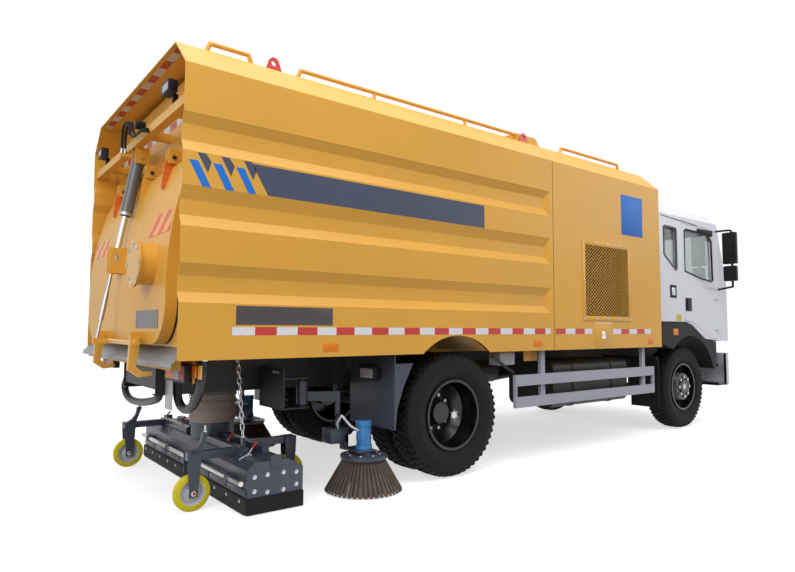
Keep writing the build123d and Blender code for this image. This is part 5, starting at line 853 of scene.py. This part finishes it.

# ---- engine bay grilles
# A bolted frame round fine expanded steel mesh, sprayed with the body; the dark
# finned face of the oil cooler stands behind it. Its near-black is partly its own
# colour and partly painted shade for the bay behind the mesh and the fins' hollows.
grille_d, grille_z, frame_width, strand_pitch = (3.95, 4.71), (1.325, 2.035), 0.045, 0.045
wide, tall, slope = grille_d[1] - grille_d[0], grille_z[1] - grille_z[0], 0.0225 / 0.018
outer_z = (grille_z[0] - frame_width, grille_z[1] + frame_width)
for side, hand in sides:
    out = (side * 1.2501, side * 1.256)
    parts = [block(out, (grille_d[0] - frame_width, grille_d[0]), outer_z, 0.001),
             block(out, (grille_d[1], grille_d[1] + frame_width), outer_z, 0.001),
             block(out, grille_d, (outer_z[0], grille_z[0]), 0.001),
             block(out, grille_d, (grille_z[1], outer_z[1]), 0.001)]
    for way in (1, -1):
        # strands run up at the slope from each foot, clipped to the opening
        foot = -tall * slope
        while foot < wide:
            ends = [(foot + z * slope, z) for z in (max(0.0, -foot / slope), min(tall, (wide - foot) / slope))]
            if ends[1][0] - ends[0][0] > 0.01:
                start = grille_d[0] if way > 0 else grille_d[1]
                parts.append(bar(*[(side * 1.2535, start + way * d, grille_z[0] + z) for d, z in ends], 0.003, 4))
            foot += strand_pitch
    piece = joined("grille_mesh_" + hand, parts, golden_enamel)
    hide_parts("grilles")
# painted shade: the cooler block is made near-black, darker than black paint, for the shade in the bay and between
# the fins
cooler_core_and_shade = moulded("near-black cooler core and painted shade", "#050404", 0.8, 3.0, 0.001, dust=0.1)
cores = [block((side * 1.13, side * 1.15), (3.9, 4.76), (1.3, 2.06), 0.002) for side in (-1, 1)]
joined("cooler_cores", cores, cooler_core_and_shade)


# ---- cab windows' rubbers and door furniture
# Extruded rubber holds each pane; the quarter window has a grey enamelled frame.
# Locks and handles are moulded plastic in pressed recesses.
def loop_of(corners, side, x, radius):
    """Round rubber section run round a closed outline of (station, z) corners."""
    parts = []
    for (d0, z0), (d1, z1) in zip(corners, corners[1:] + corners[:1]):
        parts.append(bar((side * x, d0, z0), (side * x, d1, z1), radius, 10))
        bpy.ops.mesh.primitive_uv_sphere_add(segments=10, ring_count=6, radius=radius,
                                             location=(side * x, at(d0), z0))
        bpy.ops.object.shade_smooth()
        parts.append(bpy.context.object)
    return parts


door_pane = [(6.1, 1.905), (6.1, 2.4), (6.15, 2.425), (6.69, 2.415), (6.8, 2.33), (6.815, 1.835), (6.77, 1.812),
             (6.5, 1.835)]
quarter_pane = [(5.615, 2.075), (5.615, 2.4), (5.64, 2.415), (5.885, 2.41), (5.905, 2.39), (5.905, 1.925),
                (5.88, 1.906)]
frame_grey = sprayed("grey window frame enamel", "#4E4A4E", gloss=0.4, coat=0.0)
blank_yellow = sprayed("blank yellow card", "#D9BC5A", gloss=0.5, coat=0.0)
mirror_glass = bare_metal("silvered mirror glass", "#C9CED6", 0.05, ring_mm=40.0)
for side, hand in sides:
    door = "cab_door_" + hand
    pad, lock = (side * 1.1702, side * 1.1735), side * 1.1735
    joined("door_window_rubber_" + hand, loop_of(door_pane, side, 1.166, 0.011), seal_rubber, door)
    joined("quarter_window_frame_" + hand, loop_of(quarter_pane, side, 1.165, 0.015), frame_grey, "cab")
    joined("lock_recess_" + hand, [block(pad, (5.73, 5.88), (1.57, 1.722), 0.0015)], grained_abs, "cab")
    joined("cab_lock_" + hand, [block((lock, side * 1.1765), (5.77, 5.85), (1.6, 1.69), 0.0015),
                                bar((lock, 5.8, 1.66), (side * 1.1795, 5.8, 1.66), 0.016, 20, 0.002)],
           zinc_plate, "cab")
    joined("door_handle_" + hand, [block(pad, (6.09, 6.24), (1.42, 1.58), 0.0015),
                                   block((lock, side * 1.188), (6.11, 6.135), (1.44, 1.56), 0.006, 3)],
           grained_abs, door)
    card = block((side * 1.1702, side * 1.1708), (5.86, 5.99), (1.295, 1.375))
    joined("blank_card_" + hand, [card], blank_yellow, "cab")
    marker = block((side * 1.166, side * 1.1695), (5.79, 5.9), (1.13, 1.205), 0.002)
    joined("cab_marker_" + hand, [marker], amber_lens, "cab")
    fairing = block((side * 1.1705, side * 1.205), (6.42, 6.78), (2.385, 2.47), 0.016, 4)
    for vertex in fairing.data.vertices:
        back = max(0.0, min(1.0, (vertex.co.y - at(6.78)) / 0.36))
        vertex.co.z += (2.455 - vertex.co.z) * 0.55 * back
        vertex.co.x += (side * 1.1705 - vertex.co.x) * 0.6 * back
    joined("mirror_fairing_" + hand, [fairing], grained_abs, door)
    rail = bar((side * 1.1715, 5.56, 2.536), (side * 1.1715, 6.42, 2.5), 0.005, 10)
    joined("drip_rail_" + hand, [rail], frame_grey, "cab")
    panes = [block((side * 1.276, side * 1.416), (6.9065, 6.9098), (2.05, 2.425), 0.001),
             block((side * 1.282, side * 1.411), (6.9065, 6.9098), (1.83, 1.995), 0.001)]
    joined("mirror_glass_" + hand, panes, mirror_glass, "cab")

# ---- bumper
# Pressed steel bumper bolted to the rails, glossy in cab white, with its black
# steps tucked behind its ends.
bumper_paint, tree, place = started("cab white bumper with black steps")
y = add(tree, "SeparateXYZ", [place]).outputs["Y"]
in_front = add(tree, "Math", [y, at(7.095)], operation="LESS_THAN")
paint = add(tree, "Mix", {0: in_front, 6: tone("#0C0C0E"), 7: tone("#D8DBE4")}, data_type="RGBA")
paint = blotched(tree, paint, place, 5.0, (0.3, 0.7), (0.93, 1.04))
finished(bumper_paint, {"Base Color": paint, "Roughness": 0.3})
dress(bumper_paint, "bumper")


# ---- seats
# Moulded foam in a sewn woven cover over pressed steel boxes: every cushion is
# crowned and its rims roll over, with a stitched panel along each side.
def stuffed(x, d, z, crown, axis):
    """Foam block with rolled rims, whose broad faces, square to axis (1 or 2), fall away from the middle."""
    pad = block(x, d, z, 0.03, 4)
    bpy.ops.object.mode_set(mode="EDIT")
    bpy.ops.mesh.select_all(action="SELECT")
    bpy.ops.mesh.subdivide(number_cuts=5)
    bpy.ops.object.mode_set(mode="OBJECT")
    points = [v.co for v in pad.data.vertices]
    reach = [(min(p[i] for p in points), max(p[i] for p in points)) for i in range(3)]
    middle, half = [(b + a) / 2 for a, b in reach], [(b - a) / 2 for a, b in reach]
    other = 3 - axis
    for p in points:
        across, along = (p[0] - middle[0]) / half[0], (p[other] - middle[other]) / half[other]
        stitched = math.exp(-((abs(across) - 0.62) / 0.05) ** 2)
        fall = crown * (0.6 * across ** 4 + 0.6 * along ** 2 + 0.35 * stitched)
        p[axis] -= (p[axis] - middle[axis]) / half[axis] * fall
    bpy.ops.object.shade_smooth()
    return pad


seat_cloth = moulded("woven seat cloth", "#2A2C31", 0.9, 1.2, 0.0004)
back_z, back_height, back_lean = 1.635, 0.6, 0.07
for side, hand in sides:
    x = (side * 0.33, side * 0.86)
    cushion = stuffed(x, (5.93, 6.33), (1.585, 1.695), 0.022, 2)
    joined("seat_cushion_" + hand, [cushion], seat_cloth, "cab")
    back = stuffed(x, (5.835, 5.935), (back_z, back_z + back_height), 0.018, 1)
    for vertex in back.data.vertices:
        vertex.co.y += (vertex.co.z - back_z) / back_height * back_lean
    joined("seat_back_" + hand, [back], seat_cloth, "cab")
    joined("seat_base_" + hand, [block((side * 0.42, side * 0.77), (5.9, 6.25), (1.335, 1.584), 0.004),
                                 block((side * 0.4, side * 0.79), (5.86, 5.925), (1.59, 1.68), 0.006)],
           chassis_black, "cab")

# ---- dashboard and steering wheel
# Injection moulded dash on a steel beam, and a rim of moulded rubber on a steel core,
# its column leaning back through the dash.
wheel_x, wheel_z = 0.6, 1.815
dash = film([(6.88, 1.48), (6.83, 1.56), (6.85, 1.76), (6.95, 1.83), (7.125, 1.79), (7.125, 1.48)], 1, x=-1.105,
            thick=2.21)
bpy.ops.mesh.primitive_torus_add(major_radius=0.213, minor_radius=0.015, major_segments=48, minor_segments=10,
                                 location=(wheel_x, at(6.63), wheel_z))
rim = bpy.context.object
rim.rotation_euler = Vector((0, 0.55, 0.83)).to_track_quat("Z", "Y").to_euler()
bpy.ops.object.transform_apply()
bpy.ops.object.shade_smooth()
parts = [dash, rim, bar((wheel_x, 6.88, 1.61), (wheel_x, 6.632, 1.813), 0.027, 20),
         bar((wheel_x - 0.21, 6.63, wheel_z), (wheel_x + 0.21, 6.63, wheel_z), 0.011, 12),
         bar((wheel_x, 6.645, 1.802), (wheel_x, 6.62, 1.824), 0.055, 24, 0.006),
         block((-0.2, 0.2), (6.961, 7.124), (1.336, 1.49), 0.006)]
piece = joined("dashboard", parts, grained_abs, "cab")
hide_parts("cab_interior")

# ---- nozzle corner rubber, hanging plate and guard brackets
# Rubber closes the nozzle's corners; a galvanised stay plate hangs behind the
# lamps; a golden post, a black stay and a grey box sit above the side guards.
corners = [block((side * 1.1102, side * 1.1422), (0.4878, 0.4996), (0.0125, 0.1099)) for side in (-1, 1)]
joined("nozzle_corner_rubbers", corners, seal_rubber, "nozzle")
galvanised = sprayed("bright galvanised sheet", "#9FA1A4", gloss=0.4, coat=0.0, metal=0.5, drift=0.12)
stay = [block((-0.66, -0.5), (0.1655, 0.1685), (0.64, 0.88), 0.002),
        block((-0.6, -0.56), (0.166, 0.169), (0.87, 1.035), 0.001)]
joined("hanging_stay_plate", stay, galvanised)
posts = [block((side * 1.12, side * 1.126), (3.17, 3.36), (0.9, 1.0), 0.002) for side in (-1, 1)]
stays = [bar((side * 1.11, 2.77, 0.95), (side * 1.11, 3.05, 0.8), 0.012, 12) for side in (-1, 1)]
boxes = [block((side * 0.96, side * 1.1), (2.88, 3.08), (0.87, 0.985), 0.008, 3) for side in (-1, 1)]
joined("guard_posts", posts, golden_enamel)
joined("guard_stays", stays, chassis_black)
joined("guard_boxes", boxes, castor_grey)

# ---- brush hoses
# A pair of rubber oil hoses for each brush motor, one sleeved in white, that loop
# over the slider block and ride up and down with the brush head.
for side, hand in sides:
    for colour, rubber, shift in (("white", cab_enamel, -0.02), ("black", seal_rubber, 0.02)):
        path = [(side * brush_x + shift * spread - side * inwards, d, z) for spread, inwards, d, z in (
            (1.0, 0.0, 1.4, 0.44), (1.0, 0.0, 1.33, 0.48), (1.4, 0.04, 1.27, 0.56), (1.6, 0.09, 1.262, 0.5),
            (1.6, 0.12, 1.29, 0.452))]
        hose = [bar(a, b, 0.0085, 10, 0.002) for a, b in zip(path, path[1:])]
        joined("brush_hose_" + colour + "_" + hand, hose, rubber, "brush_head_" + hand)

# ---- mirror arms
# Steel tube, 25 mm across in a grained black plastic sleeve, clamped at the roof's
# corner to carry each mirror's head.
for side, hand in sides:
    arm = [bar((side * 1.172, 6.93, 2.474), (side * 1.33, 6.96, 2.476), 0.0125, 16),
           bar((side * 1.33, 6.96, 2.476), (side * 1.35, 6.972, 2.462), 0.0125, 16)]
    joined("mirror_arm_" + hand, arm, grained_abs, "cab")

# ---- suction duct
# Wire-wound rubber hose between the nozzle and the hopper's floor, riding on the nozzle.
hose_rubber = moulded("ribbed suction hose rubber", "#C4B5AA", 0.6, 3.0, 0.0003, dust=0.2)
nozzle_d = 0.7
duct_foot, duct_head, ribs = 0.455, 1.0, 9
duct_height = duct_head - duct_foot
rib = [(0.03, 0.1752), (0.2, 0.1755), (0.3, 0.179), (0.38, 0.1835), (0.45, 0.1848), (0.55, 0.1848), (0.62, 0.1835),
       (0.7, 0.179), (0.8, 0.1755), (0.97, 0.1752)]
wall = [((i + share) * duct_height / ribs, reach) for i in range(ribs) for share, reach in rib]
wall[0], wall[-1] = (0.0, 0.1752), (duct_height, 0.1752)
wall += [(duct_height, 0.1655), (0.0, 0.1655)]
piece = joined("ribbed_suction_hose", [turned(wall, (0, at(nozzle_d), duct_foot), 72, "z")], hose_rubber, "nozzle")
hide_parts("suction_duct")
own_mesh(piece)

# ---- lifting chains
# Welded link chains, zinc plated, between an eye on the nozzle, whose weight they
# hold, and a plate under the floor.
chain_d, chain_head, link_half = 0.6, 1.0397, 0.0128
for name, foot, head_x, count in (("right", (-0.825, 0.44), -0.7, 14), ("middle", (0.22, 0.402), 0.268, 15)):
    low, high = Vector((foot[0], at(chain_d), foot[1] + 0.0003)), Vector((head_x, at(chain_d), 1.01))
    run = high - low
    step = (run.length - 0.065) / (count - 1)
    lean = Matrix.Rotation(math.atan2(run.x, run.z), 4, "Y")
    links = []
    for i in range(count):
        bpy.ops.object.select_all(action="DESELECT")
        bpy.ops.mesh.primitive_torus_add(major_radius=0.0125, minor_radius=0.004, major_segments=20,
                                         minor_segments=8, rotation=(math.radians(90), 0, 0))
        link = bpy.context.object
        bpy.ops.object.transform_apply()
        for vertex in link.data.vertices:
            vertex.co.z += math.copysign(link_half, vertex.co.z)
        # every second link lies crosswise
        turn = lean @ Matrix.Rotation(math.radians(90 * (i % 2)), 4, "Z")
        link.data.transform(Matrix.Translation(low + run.normalized() * (0.035 + i * step)) @ turn)
        bpy.ops.object.shade_smooth()
        links.append(link)
    eye_d = (chain_d - 0.009, chain_d + 0.009)
    links += [block((foot[0] - 0.012, foot[0] + 0.012), eye_d, (foot[1] + 0.0003, foot[1] + 0.014), 0.002),
              block((head_x - 0.025, head_x + 0.025), eye_d, (0.996, chain_head), 0.002)]
    piece = joined("lifting_chain_" + name, links, zinc_plate, "nozzle")
    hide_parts("lift_chains")
    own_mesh(piece)


# ---- oil and water hoses
# Spiral-guarded rubber hoses sag in free loops below the tail between crimped
# steel ferrules; a thin pair serves the tailgate's cylinder over the hood beam.
def tube(corners, radius):
    """Hose of one radius on a smooth curve drawn by its corner points (x, station, z)."""
    line = bpy.data.curves.new("hose", "CURVE")
    line.dimensions = "3D"
    line.bevel_depth = radius
    line.bevel_resolution = 5
    line.use_fill_caps = True
    line.resolution_u = 10
    spline = line.splines.new("NURBS")
    spline.points.add(len(corners) - 1)
    for point, (x, d, z) in zip(spline.points, corners):
        point.co = (x, at(d), z, 1)
    spline.order_u = 4
    spline.use_endpoint_u = True
    piece = bpy.data.objects.new("hose", line)
    bpy.context.scene.collection.objects.link(piece)
    only(piece)
    bpy.ops.object.convert(target="MESH")
    bpy.ops.object.shade_smooth()
    return bpy.context.object


guard_rubber, tree, place = started("spiral guarded hose rubber")
split = add(tree, "SeparateXYZ", [place]).outputs
slant = add(tree, "Math", [split["X"], split["Z"]], operation="ADD")
# the spiral's turns are 14 mm apart along the hose
spiral = add(tree, "Math", [add(tree, "Math", [slant, 440.0], operation="MULTIPLY")], operation="SINE")
scuff = add(tree, "TexNoise", {"Vector": place, "Scale": 30.0, "Detail": 4.0})
shade = add(tree, "Mix", {0: scuff, 6: tone("#0A0A0B"), 7: tone("#2A2A2C")}, data_type="RGBA")
bump = add(tree, "Bump", {"Strength": 0.7, "Distance": 0.002, "Height": spiral})
finished(guard_rubber, {"Base Color": shade, "Roughness": 0.4, "Normal": bump})
floor_z, valve_z, run_d = 1.0395, 0.7845, 0.223
right_loop = ((-1.06, floor_z), (-1.06, 0.96), (-1.055, 0.86), (-0.985, 0.74), (-0.8, 0.64), (-0.63, 0.665),
              (-0.565, 0.76), (-0.56, 0.9), (-0.56, floor_z))
left_loop = ((0.48, floor_z), (0.48, 0.96), (0.5, 0.87), (0.7, 0.79), (0.85, 0.69), (0.72, 0.6), (0.52, 0.585),
             (0.26, 0.6), (0.04, 0.63), (-0.13, 0.66), (-0.183, 0.69), (-0.185, 0.74), (-0.185, valve_z))
big = [tube([(x, run_d, z) for x, z in loop], 0.0295) for loop in (right_loop, left_loop)]
piece = joined("loop_hoses", big, guard_rubber)
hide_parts("hoses")
ferrules = [upright(x, run_d, z - length, z - gap, 0.0335, 24, 0.003) for x, z, length, gap in (
    (-1.06, floor_z, 0.055, 0.002), (-0.56, floor_z, 0.055, 0.002), (0.48, floor_z, 0.055, 0.002),
    (-0.185, valve_z, 0.05, 0.001))]
joined("hose_ferrules", ferrules, zinc_plate)
thin = []
union_x, union_z = 0.08, 2.5202
for back in (0.0, 0.024):
    low, run, start = 2.587 - back, -0.012 - back, -0.43 - back
    thin.append(tube([(start, 0.0195, low), (start, run, low), (start + 0.06, run, low), (-0.26, run, low),
                      (-0.15, run, low + 0.03), (-0.11, run, 2.7), (-0.06, run, 2.737), (0.02, run, 2.737),
                      (0.078, run, 2.72), (union_x, run, 2.64), (union_x, run, union_z)], 0.009))
thin_hoses = joined("cylinder_hoses", thin, seal_rubber)
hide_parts("hoses")
crimps = [upright(union_x, -0.012 - back, 2.5205, 2.56, 0.0115, 16, 0.001) for back in (0, 0.024)]
joined("hose_crimps", crimps, zinc_plate)

# ---- castor forks
# Tapered steel cheek plates on each fork, with the axle's nut and a red cap, and
# the threaded rods that set the nozzle's height.
cheeks, axle_nuts, axle_caps = [], [], []
for place, x, station in castors:
    for way in (-1, 1):
        outline = [(station + d, z) for d, z in ((-0.046, 0.378), (0.046, 0.378), (0.042, 0.27), (0.026, 0.106),
                                                 (-0.026, 0.106), (-0.042, 0.27))]
        cheeks.append(film(outline, way, x=way * x + 0.0392, thick=0.0028))
        steps = [(x + way * reach, station, castor_z) for reach in (0.042, 0.0465, 0.05)]
        axle_nuts.append(bar(*steps[:2], 0.019, 6, 0.001))
        axle_caps.append(bar(*steps[1:], 0.01, 16, 0.001))
joined("castor_cheeks", cheeks, slate_enamel, "nozzle")
joined("castor_axle_nuts", axle_nuts, zinc_plate, "nozzle")
joined("castor_axle_caps", axle_caps, red_cap, "nozzle")
rod_x, rod_d = 0.795, 0.346
rods = [upright(side * rod_x, rod_d, 0.5, 0.545, 0.007, 12, 0.001) for side in (-1, 1)]
rods += [upright(side * rod_x, rod_d, 0.5001, 0.512, 0.014, 6, 0.001) for side in (-1, 1)]
joined("height_rods", rods, zinc_plate, "nozzle")


low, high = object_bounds()
